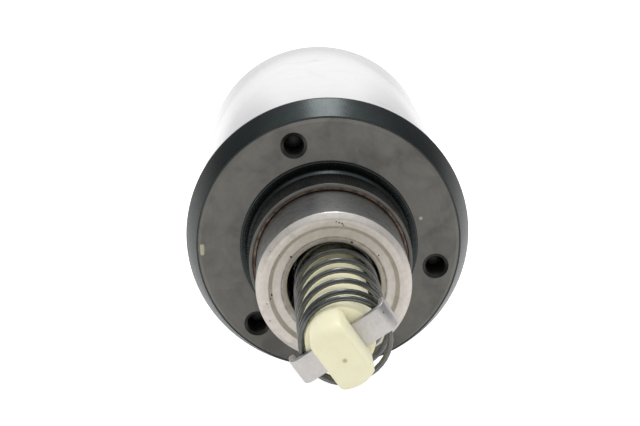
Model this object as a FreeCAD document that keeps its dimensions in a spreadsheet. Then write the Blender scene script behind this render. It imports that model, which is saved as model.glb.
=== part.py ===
import FreeCAD, Part
import Sketcher
import math
import os

# Starter solenoid with a plunger, a spring-loaded pull rod and a switch cap.
# The axis runs along Y, with the plunger end towards -Y and +Z up.
# The origin is the centre of the flange's mounting face. Lengths are in millimetres, angles in degrees.

SIZES = {
    # Front flange and the collar that centres it
    "flange_radius": 30.0,
    "flange_face_radius": 26.5,
    "flange_ledge_radius": 27.5,
    "flange_ledge_depth": 0.7,
    "flange_cone_depth": 6.5,
    "flange_thickness": 7.5,
    "flange_back_chamfer": 0.4,
    "register_depth": 3.0,
    "collar_radius": 17.0,
    "collar_height": 10.0,
    "collar_chamfer": 0.8,
    "collar_ring_radius": 18.45,
    "collar_ring_height": 0.7,
    # Tapped holes in the flange
    "tapped_hole_circle": 22.75,
    "tapped_hole_angle": 109.0,
    "tapped_hole_count": 3,
    "tapped_hole_radius": 2.1,
    "tapped_hole_depth": 7.0,
    "countersink_radius": 2.75,
    "countersink_depth": 0.4,
    "drill_point_depth": 1.2,
    # Brass guide sleeve
    "sleeve_bore": 15.03,
    "sleeve_wall": 0.62,
    "sleeve_setback": 0.35,
    # Can, with its rear rim rolled over the cap
    "can_radius": 28.3,
    "can_wall": 2.0,
    "can_corner": 1.5,
    "can_lip_radius": 24.4,
    # Coil
    "bobbin_length": 48.0,
    "bobbin_wall": 1.0,
    "bobbin_cheek": 1.5,
    "pull_in_depth": 4.0,
    "hold_in_depth": 4.2,
    "seat_gap": 0.1,
    "press_gap": 0.02,
    # Stationary core
    "core_plate": 9.0,
    "pole_radius": 14.9,
    "core_bore": 4.0,
    "core_pocket_depth": 10.0,
    "core_chamfer": 0.6,
    # Plunger
    "plunger_radius": 14.93,
    "plunger_reach": 24.9,
    "plunger_length": 39.9,
    "plunger_chamfer": 1.1,
    "plunger_stroke": 12.0,
    "stop_gap": 0.3,
    "face_recess_radius": 12.05,
    "face_recess_depth": 0.8,
    "plunger_bore": 8.95,
    "mouth_chamfer": 0.85,
    "mouth_depth": 0.75,
    "spring_seat_radius": 8.5,
    "spring_seat_depth": 1.5,
    "partition": 5.0,
    "neck_hole": 3.6,
    "rear_pocket_radius": 10.4,
    "rear_pocket_depth": 9.5,
    # Plunger return spring
    "return_mean_radius": 8.9,
    "return_wire": 1.6,
    "return_turns": 7,
    # Idle-travel spring between the plunger and the key
    "idle_mean_radius": 7.75,
    "idle_wire": 1.0,
    "idle_turns": 11,
    "idle_lean_side": 0.92,
    "idle_lean_up": -0.37,
    # Nylon pull rod
    "rod_radius": 6.15,
    "rod_shoulder_reach": 50.0,
    "tongue_length": 8.75,
    "rod_tip_rounding": 2.8,
    "rod_travel": 3.5,
    "rod_tail_gap": 0.5,
    "tongue_thickness": 6.0,
    "tongue_edge_rounding": 1.0,
    "neck_radius": 3.3,
    "barb_radius": 4.1,
    "barb_tip_radius": 2.9,
    "barb_length": 4.0,
    "split_width": 1.4,
    # Steel key through the rod's slot
    "key_angle": 35.0,
    "key_thickness": 1.0,
    "key_width": 4.9,
    "key_reach": 9.75,
    "key_hook": 2.6,
    "key_bend": 0.9,
    "key_shift_along": 0.19,
    "key_shift_across": -0.7,
    "key_slot_width": 6.5,
    "key_slot_play": 0.2,
    # Contact rod and what it carries
    "contact_travel": 4.5,
    "cup_bore": 4.6,
    "cup_wall": 1.0,
    "cup_floor": 1.5,
    "contact_rod_radius": 3.0,
    "running_gap": 0.05,
    "bush_front": 16.0,
    "bush_flange_radius": 6.5,
    "bush_flange": 1.2,
    "rod_collar_radius": 4.5,
    "rod_collar": 1.5,
    "rod_collar_space": 1.8,
    "over_travel_length": 7.3,
    "over_travel_mean_radius": 4.6,
    "over_travel_wire": 0.9,
    "over_travel_turns": 4,
    "over_travel": 0.6,
    "insulator_radius": 6.5,
    "insulator_flange": 1.2,
    "rear_insulator_radius": 5.8,
    "disc_radius": 13.5,
    "disc_thickness": 2.5,
    "disc_bore": 4.55,
    "disc_edge": 0.4,
    "clip_radius": 4.8,
    "clip_thickness": 1.0,
    "clip_groove_radius": 2.4,
    "clip_opening": 4.4,
    "rod_tail": 2.8,
    "rod_tail_chamfer": 0.5,
    "contact_return_mean_radius": 3.9,
    "contact_return_wire": 0.7,
    "contact_return_turns": 5,
    # Terminal cap and its seal
    "gasket_thickness": 1.0,
    "gasket_inner_radius": 23.0,
    "cap_base_thickness": 7.0,
    "cap_radius": 23.8,
    "cap_draft": 0.5,
    "cap_bore": 20.5,
    "cap_rear_wall": 6.5,
    "cap_edge": 1.5,
    "cap_pocket_radius": 5.4,
    "cap_pocket_depth": 3.5,
    "boss_radius": 8.6,
    "boss_height": 1.5,
    "barrier_thickness": 2.4,
    "barrier_width": 33.0,
    "barrier_height": 9.0,
    "barrier_edge": 1.0,
    # Main terminals
    "stud_spread": 13.0,
    "stud_radius": 4.0,
    "stud_length": 21.0,
    "stud_chamfer": 0.8,
    "stud_head_radius": 6.5,
    "stud_head": 4.5,
    "stud_hole_gap": 0.1,
    "closed_gap": 0.1,
    "seal_section": 1.7,
    "washer_radius": 8.0,
    "washer_thickness": 1.4,
    "nut_flats": 13.0,
    "jam_nut": 4.0,
    "terminal_nut": 6.5,
    "nut_chamfer_depth": 0.6,
    "lock_washer_radius": 6.4,
    "lock_washer": 2.0,
    "lock_washer_split": 1.4,
    # Control terminal and winding leads
    "blade_inset": 1.3,
    "blade_width": 6.3,
    "blade_thickness": 0.8,
    "blade_length": 12.0,
    "blade_hole": 0.85,
    "blade_hole_inset": 3.2,
    "blade_tip_chamfer": 1.0,
    "blade_foot": 4.2,
    "lead_radius": 0.8,
    "lead_inset": 0.2,
    "lead_hole": 1.8,
}


class Size:
    """A value from the sheet, kept with the expression that binds a feature to it."""

    def __init__(self, value, text):
        self.value = value
        self.text = text

    @staticmethod
    def of(other):
        return other if isinstance(other, Size) else Size(other, repr(other))

    def __add__(self, other):
        other = Size.of(other)
        return Size(self.value + other.value, f"({self.text} + {other.text})")

    def __sub__(self, other):
        other = Size.of(other)
        return Size(self.value - other.value, f"({self.text} - {other.text})")

    def __rsub__(self, other):
        return Size.of(other) - self

    def __mul__(self, other):
        other = Size.of(other)
        return Size(self.value * other.value, f"({self.text} * {other.text})")

    def __truediv__(self, other):
        other = Size.of(other)
        return Size(self.value / other.value, f"({self.text} / {other.text})")

    def __neg__(self):
        return Size(-self.value, f"(-1 * {self.text})")

    def cos(self):
        return Size(math.cos(math.radians(self.value)), f"cos({self.text})")

    def sin(self):
        return Size(math.sin(math.radians(self.value)), f"sin({self.text})")

    __radd__ = __add__
    __rmul__ = __mul__


class Sheet:
    """The driving sizes, one attribute for each alias of the spreadsheet."""


doc = FreeCAD.newDocument("StarterSolenoid")
sheet = doc.addObject("Spreadsheet::Sheet", "Sizes")
S = Sheet()
for row, (alias, number) in enumerate(SIZES.items(), start=1):
    sheet.set(f"A{row}", alias)
    sheet.set(f"B{row}", str(number))
    sheet.setAlias(f"B{row}", alias)
    setattr(S, alias, Size(number, f"Sizes.{alias}"))
doc.recompute()

AXIS = Size(0.0, "0")
FACE = Size(0.0, "0")
nodes = []


# Helpers for bodies, sketches and features

def new_body(label):
    """A body whose label names its file."""
    body = doc.addObject("PartDesign::Body", label)
    body.Label = label
    nodes.append(body)
    return body


def origin_part(body, role):
    """The plane or axis of a body's own origin that has this role."""
    return next(part for part in body.Origin.OriginFeatures if part.Role == role)


def new_sketch(body, name, role, place=None, turn_axis=None, turn=None):
    """A sketch on an origin plane, moved along the plane's normal and turned about one of its axes."""
    sketch = body.newObject("Sketcher::SketchObject", name)
    sketch.AttachmentSupport = [(origin_part(body, role), "")]
    sketch.MapMode = "FlatFace"
    if turn is not None:
        rotation = FreeCAD.Rotation(FreeCAD.Vector(*turn_axis), turn.value)
        sketch.AttachmentOffset = FreeCAD.Placement(FreeCAD.Vector(), rotation)
        sketch.setExpression("AttachmentOffset.Rotation.Angle", turn.text)
    if place is not None:
        sketch.setExpression("AttachmentOffset.Base.z", place.text)
    return sketch


def bind(sketch, constraint, size):
    """Add a constraint and bind its value to the sheet."""
    index = sketch.addConstraint(constraint)
    sketch.setExpression(f"Constraints[{index}]", size.text)


def fix_point(sketch, geometry, point, across, along):
    """Hold a point of the sketch at a distance from both sketch axes."""
    if across.text == "0":
        sketch.addConstraint(Sketcher.Constraint("PointOnObject", geometry, point, -2))
    else:
        bind(sketch, Sketcher.Constraint("DistanceX", -1, 1, geometry, point, across.value), across)
    if along.text == "0":
        sketch.addConstraint(Sketcher.Constraint("PointOnObject", geometry, point, -1))
    else:
        bind(sketch, Sketcher.Constraint("DistanceY", -1, 1, geometry, point, along.value), along)


def add_outline(sketch, outline):
    """Draw a closed outline of straight lines through (across, along) points."""
    first = sketch.GeometryCount
    count = len(outline)
    corners = [FreeCAD.Vector(across.value, along.value, 0) for across, along in outline]
    for index in range(count):
        line = Part.LineSegment(corners[index], corners[(index + 1) % count])
        sketch.addGeometry(line, False)
    for index in range(count):
        following = first + (index + 1) % count
        sketch.addConstraint(Sketcher.Constraint("Coincident", first + index, 2, following, 1))
    for index, (across, along) in enumerate(outline):
        fix_point(sketch, first + index, 1, across, along)


def add_rectangle(sketch, left, bottom, right, top):
    """Draw a rectangle between two corners."""
    add_outline(sketch, [(left, bottom), (right, bottom), (right, top), (left, top)])


def add_circle(sketch, across, along, radius):
    """Draw a circle round a point."""
    centre = FreeCAD.Vector(across.value, along.value, 0)
    index = sketch.addGeometry(Part.Circle(centre, FreeCAD.Vector(0, 0, 1), radius.value), False)
    fix_point(sketch, index, 3, across, along)
    bind(sketch, Sketcher.Constraint("Radius", index, radius.value), radius)


def revolve(body, sketch, name, kind="PartDesign::Revolution"):
    """Turn a profile through a full circle about the Y axis, adding or cutting."""
    feature = body.newObject(kind, name)
    feature.Profile = sketch
    feature.ReferenceAxis = (sketch, ["V_Axis"])
    feature.Angle = 360
    doc.recompute()
    return feature


def turned_body(label, outline):
    """A body turned about the Y axis from one closed outline of (radius, place) points."""
    body = new_body(label)
    sketch = new_sketch(body, f"{label}_profile", "XY_Plane")
    add_outline(sketch, outline)
    revolve(body, sketch, f"{label}_turned")
    return body


def ring_outline(inner, outer, front, rear):
    """The outline of a plain ring between two radii and two places."""
    return [(inner, front), (outer, front), (outer, rear), (inner, rear)]


def pad(body, sketch, name, length, reverse=False):
    """Raise a profile by a length along its plane's normal, or against it."""
    feature = body.newObject("PartDesign::Pad", name)
    feature.Profile = sketch
    feature.setExpression("Length", length.text)
    feature.Reversed = reverse
    doc.recompute()
    return feature


def centred_pad(body, sketch, name, width):
    """Raise a profile to both sides of its plane."""
    feature = pad(body, sketch, name, width)
    feature.Midplane = True
    doc.recompute()
    return feature


def pocket(body, sketch, name, depth, reverse=False):
    """Cut a profile to a depth against its plane's normal, or along it, and check that it cut."""
    before = body.Shape.Volume
    feature = body.newObject("PartDesign::Pocket", name)
    feature.Profile = sketch
    feature.setExpression("Length", depth.text)
    feature.Reversed = reverse
    doc.recompute()
    if not feature.Shape.Volume < before:
        raise RuntimeError(f"{name} cuts nothing")
    return feature


def centred_pocket(body, sketch, name, width):
    """Cut a profile to both sides of its plane."""
    feature = pocket(body, sketch, name, width)
    feature.Midplane = True
    doc.recompute()
    return feature


def circular_edges(feature, radius, place):
    """Names of the feature's circular edges about the Y axis with this radius and place."""
    names = []
    for index, edge in enumerate(feature.Shape.Edges, start=1):
        if not isinstance(edge.Curve, Part.Circle):
            continue
        centre = edge.Curve.Center
        on_axis = math.hypot(centre.x, centre.z) < 0.01
        same_radius = abs(edge.Curve.Radius - radius.value) < 0.01
        if on_axis and same_radius and abs(centre.y - place.value) < 0.01:
            names.append(f"Edge{index}")
    return names


def edges_near(feature, test):
    """Names of the feature's edges whose middle point passes a test."""
    names = []
    for index, edge in enumerate(feature.Shape.Edges, start=1):
        middle = edge.valueAt((edge.FirstParameter + edge.LastParameter) / 2)
        if test(edge, middle):
            names.append(f"Edge{index}")
    return names


def fillet(body, base, names, radius, name):
    """Round the named edges."""
    feature = body.newObject("PartDesign::Fillet", name)
    feature.Base = (base, names)
    feature.setExpression("Radius", radius.text)
    doc.recompute()
    return feature


def chamfer(body, base, names, size, name):
    """Bevel the named edges."""
    feature = body.newObject("PartDesign::Chamfer", name)
    feature.Base = (base, names)
    feature.setExpression("Size", size.text)
    doc.recompute()
    return feature


def coil_spring(label, mean_radius, wire, turns, front, rear, lean_side=AXIS, lean_up=AXIS):
    """A right-handed compression spring with one closed turn at each end, from front to rear.

    The wire has six flats, and each turn is a polygon drawn round its true circle, so that the middle
    of each side lies on it. The wire starts at the spring's lowest point. The lean moves the front end
    off the axis, and the rear end stays on it.
    """
    steps_per_turn = 18
    sides = 6
    corner_share = 1 / math.cos(math.pi / steps_per_turn)
    wire_radius = wire.value / 2
    whole_turns = int(round(turns.value))
    free_length = rear.value - front.value - wire.value
    open_pitch = (free_length - 2 * wire.value) / (whole_turns - 2)
    sections = []
    for step in range(whole_turns * steps_per_turn + 1):
        turn = step / steps_per_turn
        closed_front = min(turn, 1)
        closed_rear = max(turn - (whole_turns - 1), 0)
        open_turns = turn - closed_front - closed_rear
        rise = (closed_front + closed_rear) * wire.value + open_turns * open_pitch
        place = front.value + wire_radius + rise
        lean = 1 - rise / free_length
        angle = 2 * math.pi * turn
        corners = []
        for side in range(sides):
            around = 2 * math.pi * side / sides
            radius = corner_share * (mean_radius.value + wire_radius * math.cos(around))
            corners.append(FreeCAD.Vector(
                lean_side.value * lean - radius * math.sin(angle),
                place + wire_radius * math.sin(around),
                lean_up.value * lean - radius * math.cos(angle)))
        sections.append(Part.makePolygon(corners + corners[:1]))
    spring = doc.addObject("Part::Feature", label)
    spring.Label = label
    spring.Shape = Part.makeLoft(sections, True, True)
    nodes.append(spring)
    return spring


def pair(label, body):
    """A body and its mirror image across the YZ plane, as one node of two solids."""
    twin = doc.addObject("Part::Mirroring", f"{label}_twin")
    twin.Source = body
    twin.Normal = FreeCAD.Vector(1, 0, 0)
    both = doc.addObject("Part::Compound", f"{label}_pair")
    both.Links = [body, twin]
    nodes.remove(body)
    body.Label = f"{label}_single"
    both.Label = label
    nodes.append(both)
    return both


# Places along the axis, worked out from the sizes

flange_back = S.flange_thickness
register_back = flange_back + S.register_depth
collar_front = -S.collar_height
can_bore = S.can_radius - S.can_wall
bobbin_front = register_back + S.seat_gap
bobbin_rear = bobbin_front + S.bobbin_length
core_front = bobbin_rear + S.seat_gap
core_rear = core_front + S.core_plate
cap_front = core_rear + S.gasket_thickness
cap_base_rear = cap_front + S.cap_base_thickness
can_lip_front = cap_base_rear + S.seat_gap
can_rear = can_lip_front + S.can_wall
sleeve_radius = S.sleeve_bore + S.sleeve_wall

plunger_front = -S.plunger_reach
plunger_rear = S.plunger_length - S.plunger_reach
partition_rear = plunger_rear - S.rear_pocket_depth
spring_seat = partition_rear - S.partition
pole_front = plunger_rear + S.plunger_stroke + S.stop_gap

cup_front = partition_rear + S.plunger_stroke - S.contact_travel + S.stop_gap
barb_front = partition_rear + S.seat_gap
barb_rear = barb_front + S.barb_length
cup_bottom = barb_rear + S.plunger_stroke + S.rod_travel - S.contact_travel + S.rod_tail_gap
cup_rear = cup_bottom + S.cup_floor

rod_collar_front = core_rear + S.bush_flange + S.rod_collar_space
rod_collar_rear = rod_collar_front + S.rod_collar
insulator_front = rod_collar_rear + S.over_travel_length
disc_front = insulator_front + S.insulator_flange
disc_rear = disc_front + S.disc_thickness
clip_front = disc_rear + S.insulator_flange
clip_rear = clip_front + S.clip_thickness
rod_tail_end = clip_rear + S.rod_tail
disc_travel = S.contact_travel - S.over_travel
stud_head_front = disc_rear + disc_travel + S.closed_gap
stud_head_rear = stud_head_front + S.stud_head
cap_wall_front = stud_head_rear
cap_rear = cap_wall_front + S.cap_rear_wall
boss_rear = cap_rear + S.boss_height

rod_tip_reach = S.rod_shoulder_reach + S.tongue_length
blade_foot_top = S.cap_bore - S.blade_inset
blade_height = blade_foot_top - S.blade_foot
lead_circle = blade_foot_top - S.lead_inset - S.lead_radius


def make_front_flange():
    """Turned steel plate with a stepped, tapered rim, a centring collar and three tapped holes."""
    ring_front = -S.collar_ring_height
    collar_chamfer_end = collar_front + S.collar_chamfer
    bore = sleeve_radius + S.press_gap
    rim_rear = flange_back - S.flange_back_chamfer
    body = turned_body("front_flange", [
        (bore, collar_front),
        (S.collar_radius - S.collar_chamfer, collar_front),
        (S.collar_radius, collar_chamfer_end),
        (S.collar_radius, ring_front),
        (S.collar_ring_radius, ring_front),
        (S.collar_ring_radius, FACE),
        (S.flange_face_radius, FACE),
        (S.flange_face_radius + S.flange_ledge_depth, S.flange_ledge_depth),
        (S.flange_ledge_radius, S.flange_ledge_depth),
        (S.flange_radius, S.flange_cone_depth),
        (S.flange_radius, rim_rear),
        (S.flange_radius - S.flange_back_chamfer, flange_back),
        (can_bore - S.seat_gap, flange_back),
        (can_bore - S.seat_gap, register_back),
        (bore, register_back),
    ])
    hole_profile = new_sketch(body, "hole_profile", "XY_Plane")
    add_outline(hole_profile, [
        (AXIS, FACE),
        (S.countersink_radius, FACE),
        (S.tapped_hole_radius, S.countersink_depth),
        (S.tapped_hole_radius, S.tapped_hole_depth),
        (AXIS, S.tapped_hole_depth + S.drill_point_depth),
    ])
    across = S.tapped_hole_circle * S.tapped_hole_angle.cos()
    up = S.tapped_hole_circle * S.tapped_hole_angle.sin()
    hole_profile.setExpression("AttachmentOffset.Base.x", across.text)
    hole_profile.setExpression("AttachmentOffset.Base.z", up.text)
    solid = body.Shape.Volume
    hole = revolve(body, hole_profile, "tapped_hole", "PartDesign::Groove")
    if not hole.Shape.Volume < solid:
        raise RuntimeError("the tapped hole cuts nothing")
    holes = body.newObject("PartDesign::PolarPattern", "tapped_holes")
    holes.Originals = [hole]
    holes.Axis = (origin_part(body, "Y_Axis"), [""])
    holes.Angle = 360
    holes.setExpression("Occurrences", S.tapped_hole_count.text)
    body.Tip = holes
    return body


def make_guide_sleeve():
    """Thin brass tube that guides the plunger and carries the coil."""
    front = collar_front + S.sleeve_setback
    return turned_body("guide_sleeve", ring_outline(S.sleeve_bore, sleeve_radius, front, bobbin_rear))


def make_can():
    """Drawn steel can, open to the front, with its rear rim rolled in over the cap."""
    body = turned_body("can", [
        (can_bore, flange_back),
        (S.can_radius, flange_back),
        (S.can_radius, can_rear),
        (S.can_lip_radius, can_rear),
        (S.can_lip_radius, can_lip_front),
        (can_bore, can_lip_front),
    ])
    turned = body.Tip
    fillet(body, turned, circular_edges(turned, S.can_radius, can_rear), S.can_corner, "can_rim_rounding")
    return body


def make_coil():
    """Moulded bobbin with the pull-in winding inside and the hold-in winding over it."""
    bore = sleeve_radius + S.seat_gap
    hub = bore + S.bobbin_wall
    cheek_radius = can_bore - S.seat_gap
    front_cheek = bobbin_front + S.bobbin_cheek
    rear_cheek = bobbin_rear - S.bobbin_cheek
    bobbin = turned_body("coil_bobbin", [
        (bore, bobbin_front),
        (cheek_radius, bobbin_front),
        (cheek_radius, front_cheek),
        (hub, front_cheek),
        (hub, rear_cheek),
        (cheek_radius, rear_cheek),
        (cheek_radius, bobbin_rear),
        (bore, bobbin_rear),
    ])
    lead_holes = new_sketch(bobbin, "bobbin_lead_holes", "XZ_Plane", -bobbin_rear)
    add_circle(lead_holes, AXIS, lead_circle, S.lead_radius + S.stud_hole_gap)
    add_circle(lead_holes, lead_circle, AXIS, S.lead_radius + S.stud_hole_gap)
    pocket(bobbin, lead_holes, "bobbin_lead_cuts", S.bobbin_cheek, reverse=True)
    wound_front = front_cheek + S.seat_gap
    wound_rear = rear_cheek - S.seat_gap
    pull_in_inner = hub + S.seat_gap
    pull_in_outer = pull_in_inner + S.pull_in_depth
    hold_in_inner = pull_in_outer + S.seat_gap
    hold_in_outer = hold_in_inner + S.hold_in_depth
    turned_body("pull_in_winding", ring_outline(pull_in_inner, pull_in_outer, wound_front, wound_rear))
    turned_body("hold_in_winding", ring_outline(hold_in_inner, hold_in_outer, wound_front, wound_rear))


def make_stationary_core():
    """Steel end plate with the pole that the plunger is drawn to, bored for the contact rod."""
    pocket_floor = pole_front + S.core_pocket_depth
    body = turned_body("stationary_core", [
        (S.core_bore, pocket_floor),
        (S.rear_pocket_radius, pocket_floor),
        (S.rear_pocket_radius, pole_front),
        (S.pole_radius - S.core_chamfer, pole_front),
        (S.pole_radius, pole_front + S.core_chamfer),
        (S.pole_radius, core_front),
        (can_bore - S.seat_gap, core_front),
        (can_bore - S.seat_gap, core_rear),
        (S.core_bore, core_rear),
    ])
    lead_holes = new_sketch(body, "core_lead_holes", "XZ_Plane", -core_rear)
    add_circle(lead_holes, AXIS, lead_circle, S.lead_hole)
    add_circle(lead_holes, lead_circle, AXIS, S.lead_hole)
    pocket(body, lead_holes, "core_lead_cuts", S.core_plate, reverse=True)
    return body


def make_plunger():
    """Steel plunger, bored in front for the idle spring and behind for the return spring."""
    recess = plunger_front + S.face_recess_depth
    seat_shoulder = spring_seat - S.spring_seat_depth
    return turned_body("plunger", [
        (S.neck_hole, spring_seat),
        (S.spring_seat_radius, spring_seat),
        (S.spring_seat_radius, seat_shoulder),
        (S.plunger_bore, seat_shoulder),
        (S.plunger_bore, recess + S.mouth_depth),
        (S.plunger_bore + S.mouth_chamfer, recess),
        (S.face_recess_radius, recess),
        (S.face_recess_radius, plunger_front),
        (S.plunger_radius - S.plunger_chamfer, plunger_front),
        (S.plunger_radius, plunger_front + S.plunger_chamfer),
        (S.plunger_radius, plunger_rear - S.core_chamfer),
        (S.plunger_radius - S.core_chamfer, plunger_rear),
        (S.rear_pocket_radius, plunger_rear),
        (S.rear_pocket_radius, partition_rear),
        (S.neck_hole, partition_rear),
    ])


def make_pull_rod():
    """Round nylon rod with a flat tongue in front, a slot for the key and a split barb behind."""
    tip = -rod_tip_reach
    shoulder = -S.rod_shoulder_reach
    tail = spring_seat - S.rod_travel - S.rod_tail_gap
    body = turned_body("pull_rod", [
        (AXIS, tip),
        (S.rod_radius, tip),
        (S.rod_radius, tail),
        (S.neck_radius, tail),
        (S.neck_radius, barb_front),
        (S.barb_radius, barb_front),
        (S.barb_tip_radius, barb_rear),
        (AXIS, barb_rear),
    ])
    turned = body.Tip
    fillet(body, turned, circular_edges(turned, S.rod_radius, tip), S.rod_tip_rounding, "rod_end")
    half = S.tongue_thickness / 2
    outside = S.rod_radius + S.key_thickness
    flats = new_sketch(body, "tongue_flats", "XZ_Plane", rod_tip_reach, (0, 0, 1), S.key_angle)
    add_rectangle(flats, half, -outside, outside, outside)
    add_rectangle(flats, -outside, -outside, -half, outside)
    cut = pocket(body, flats, "tongue_sides", S.tongue_length)

    def along_flat(edge, middle):
        """True for the edges that bound the tongue's flats, in front of the shoulder."""
        turn = math.radians(S.key_angle.value)
        from_centre = abs(middle.x * math.cos(turn) + middle.z * math.sin(turn))
        return abs(from_centre - half.value) < 0.05 and middle.y < shoulder.value - 0.05

    fillet(body, cut, edges_near(cut, along_flat), S.tongue_edge_rounding, "tongue_edges")
    slot = new_sketch(body, "key_slot", "XY_Plane", None, (0, 1, 0), -S.key_angle)
    slot_front = shoulder - S.key_thickness - S.key_slot_play
    add_rectangle(slot, -outside, slot_front, outside, shoulder)
    centred_pocket(body, slot, "key_slot_cut", S.key_slot_width)
    split = new_sketch(body, "barb_split", "XY_Plane")
    add_rectangle(split, -S.split_width / 2, tail + S.split_width, S.split_width / 2, barb_rear)
    centred_pocket(body, split, "barb_split_cut", S.barb_radius * 2 + S.split_width)
    return body


def make_spring_key():
    """Steel strip through the rod's slot, with both ends bent back over the spring."""
    front = -S.rod_shoulder_reach - S.key_thickness - S.key_slot_play / 2
    back = front + S.key_thickness
    hook_end = back + S.key_hook
    left = S.key_shift_along - S.key_reach
    right = S.key_shift_along + S.key_reach
    body = new_body("spring_key")
    strip = new_sketch(body, "key_profile", "XY_Plane", None, (0, 1, 0), -S.key_angle)
    add_outline(strip, [
        (left, front),
        (right, front),
        (right, hook_end),
        (right - S.key_thickness, hook_end),
        (right - S.key_thickness, back),
        (left + S.key_thickness, back),
        (left + S.key_thickness, hook_end),
        (left, hook_end),
    ])
    feature = body.newObject("PartDesign::Pad", "key_strip")
    feature.Profile = strip
    feature.setExpression("Length", (S.key_width / 2 + S.key_shift_across).text)
    feature.SideType = "Two sides"
    feature.setExpression("Length2", (S.key_width / 2 - S.key_shift_across).text)
    doc.recompute()

    def at_bend(place):
        """A test for the straight edges across the strip at its two bends."""
        def test(edge, middle):
            across = abs(edge.Length - S.key_width.value) < 0.01
            return across and abs(middle.y - place.value) < 0.01
        return test

    outer = fillet(body, feature, edges_near(feature, at_bend(front)),
                   S.key_bend + S.key_thickness, "outer_bends")
    fillet(body, outer, edges_near(outer, at_bend(back)), S.key_bend, "inner_bends")
    return body


def make_springs():
    """The four coil springs, each between its two seats."""
    key_back = -S.rod_shoulder_reach - S.key_slot_play / 2
    coil_spring("idle_spring", S.idle_mean_radius, S.idle_wire, S.idle_turns,
                key_back, spring_seat, S.idle_lean_side, S.idle_lean_up)
    coil_spring("plunger_return_spring", S.return_mean_radius, S.return_wire, S.return_turns,
                partition_rear, pole_front + S.core_pocket_depth)
    coil_spring("over_travel_spring", S.over_travel_mean_radius, S.over_travel_wire,
                S.over_travel_turns, rod_collar_rear, insulator_front)
    coil_spring("contact_return_spring", S.contact_return_mean_radius, S.contact_return_wire,
                S.contact_return_turns, clip_rear, cap_wall_front + S.cap_pocket_depth)


def make_contact_group():
    """Contact rod with its guide bush, moving disc, insulators and retaining clip."""
    bearing = S.contact_rod_radius + S.running_gap
    cup_radius = S.cup_bore + S.cup_wall
    turned_body("contact_rod", [
        (AXIS, cup_bottom),
        (S.cup_bore, cup_bottom),
        (S.cup_bore, cup_front),
        (cup_radius, cup_front),
        (cup_radius, cup_rear),
        (S.contact_rod_radius, cup_rear),
        (S.contact_rod_radius, rod_collar_front),
        (S.rod_collar_radius, rod_collar_front),
        (S.rod_collar_radius, rod_collar_rear),
        (S.contact_rod_radius, rod_collar_rear),
        (S.contact_rod_radius, clip_front),
        (S.clip_groove_radius, clip_front),
        (S.clip_groove_radius, clip_rear),
        (S.contact_rod_radius, clip_rear),
        (S.contact_rod_radius, rod_tail_end - S.rod_tail_chamfer),
        (S.contact_rod_radius - S.rod_tail_chamfer, rod_tail_end),
        (AXIS, rod_tail_end),
    ])
    bush_radius = S.core_bore - S.press_gap
    turned_body("rod_guide_bush", [
        (bearing, core_front - S.bush_front),
        (bush_radius, core_front - S.bush_front),
        (bush_radius, core_rear),
        (S.bush_flange_radius, core_rear),
        (S.bush_flange_radius, core_rear + S.bush_flange),
        (bearing, core_rear + S.bush_flange),
    ])
    disc = turned_body("contact_disc", ring_outline(S.disc_bore, S.disc_radius, disc_front, disc_rear))
    turned = disc.Tip
    rims = circular_edges(turned, S.disc_radius, disc_front)
    rims += circular_edges(turned, S.disc_radius, disc_rear)
    chamfer(disc, turned, rims, S.disc_edge, "disc_rims")
    turned_body("disc_front_insulator", [
        (bearing, insulator_front),
        (S.insulator_radius, insulator_front),
        (S.insulator_radius, disc_front),
        (S.disc_bore - S.running_gap, disc_front),
        (S.disc_bore - S.running_gap, disc_rear),
        (bearing, disc_rear),
    ])
    turned_body("disc_rear_insulator",
                ring_outline(bearing, S.rear_insulator_radius, disc_rear, clip_front))
    clip = turned_body("rod_clip", ring_outline(
        S.clip_groove_radius + S.press_gap, S.clip_radius, clip_front, clip_rear))
    opening = new_sketch(clip, "clip_mouth", "XZ_Plane", -clip_front)
    add_rectangle(opening, -S.clip_opening / 2, -S.clip_radius * 2, S.clip_opening / 2, AXIS)
    pocket(clip, opening, "clip_mouth_cut", S.clip_thickness)


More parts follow.
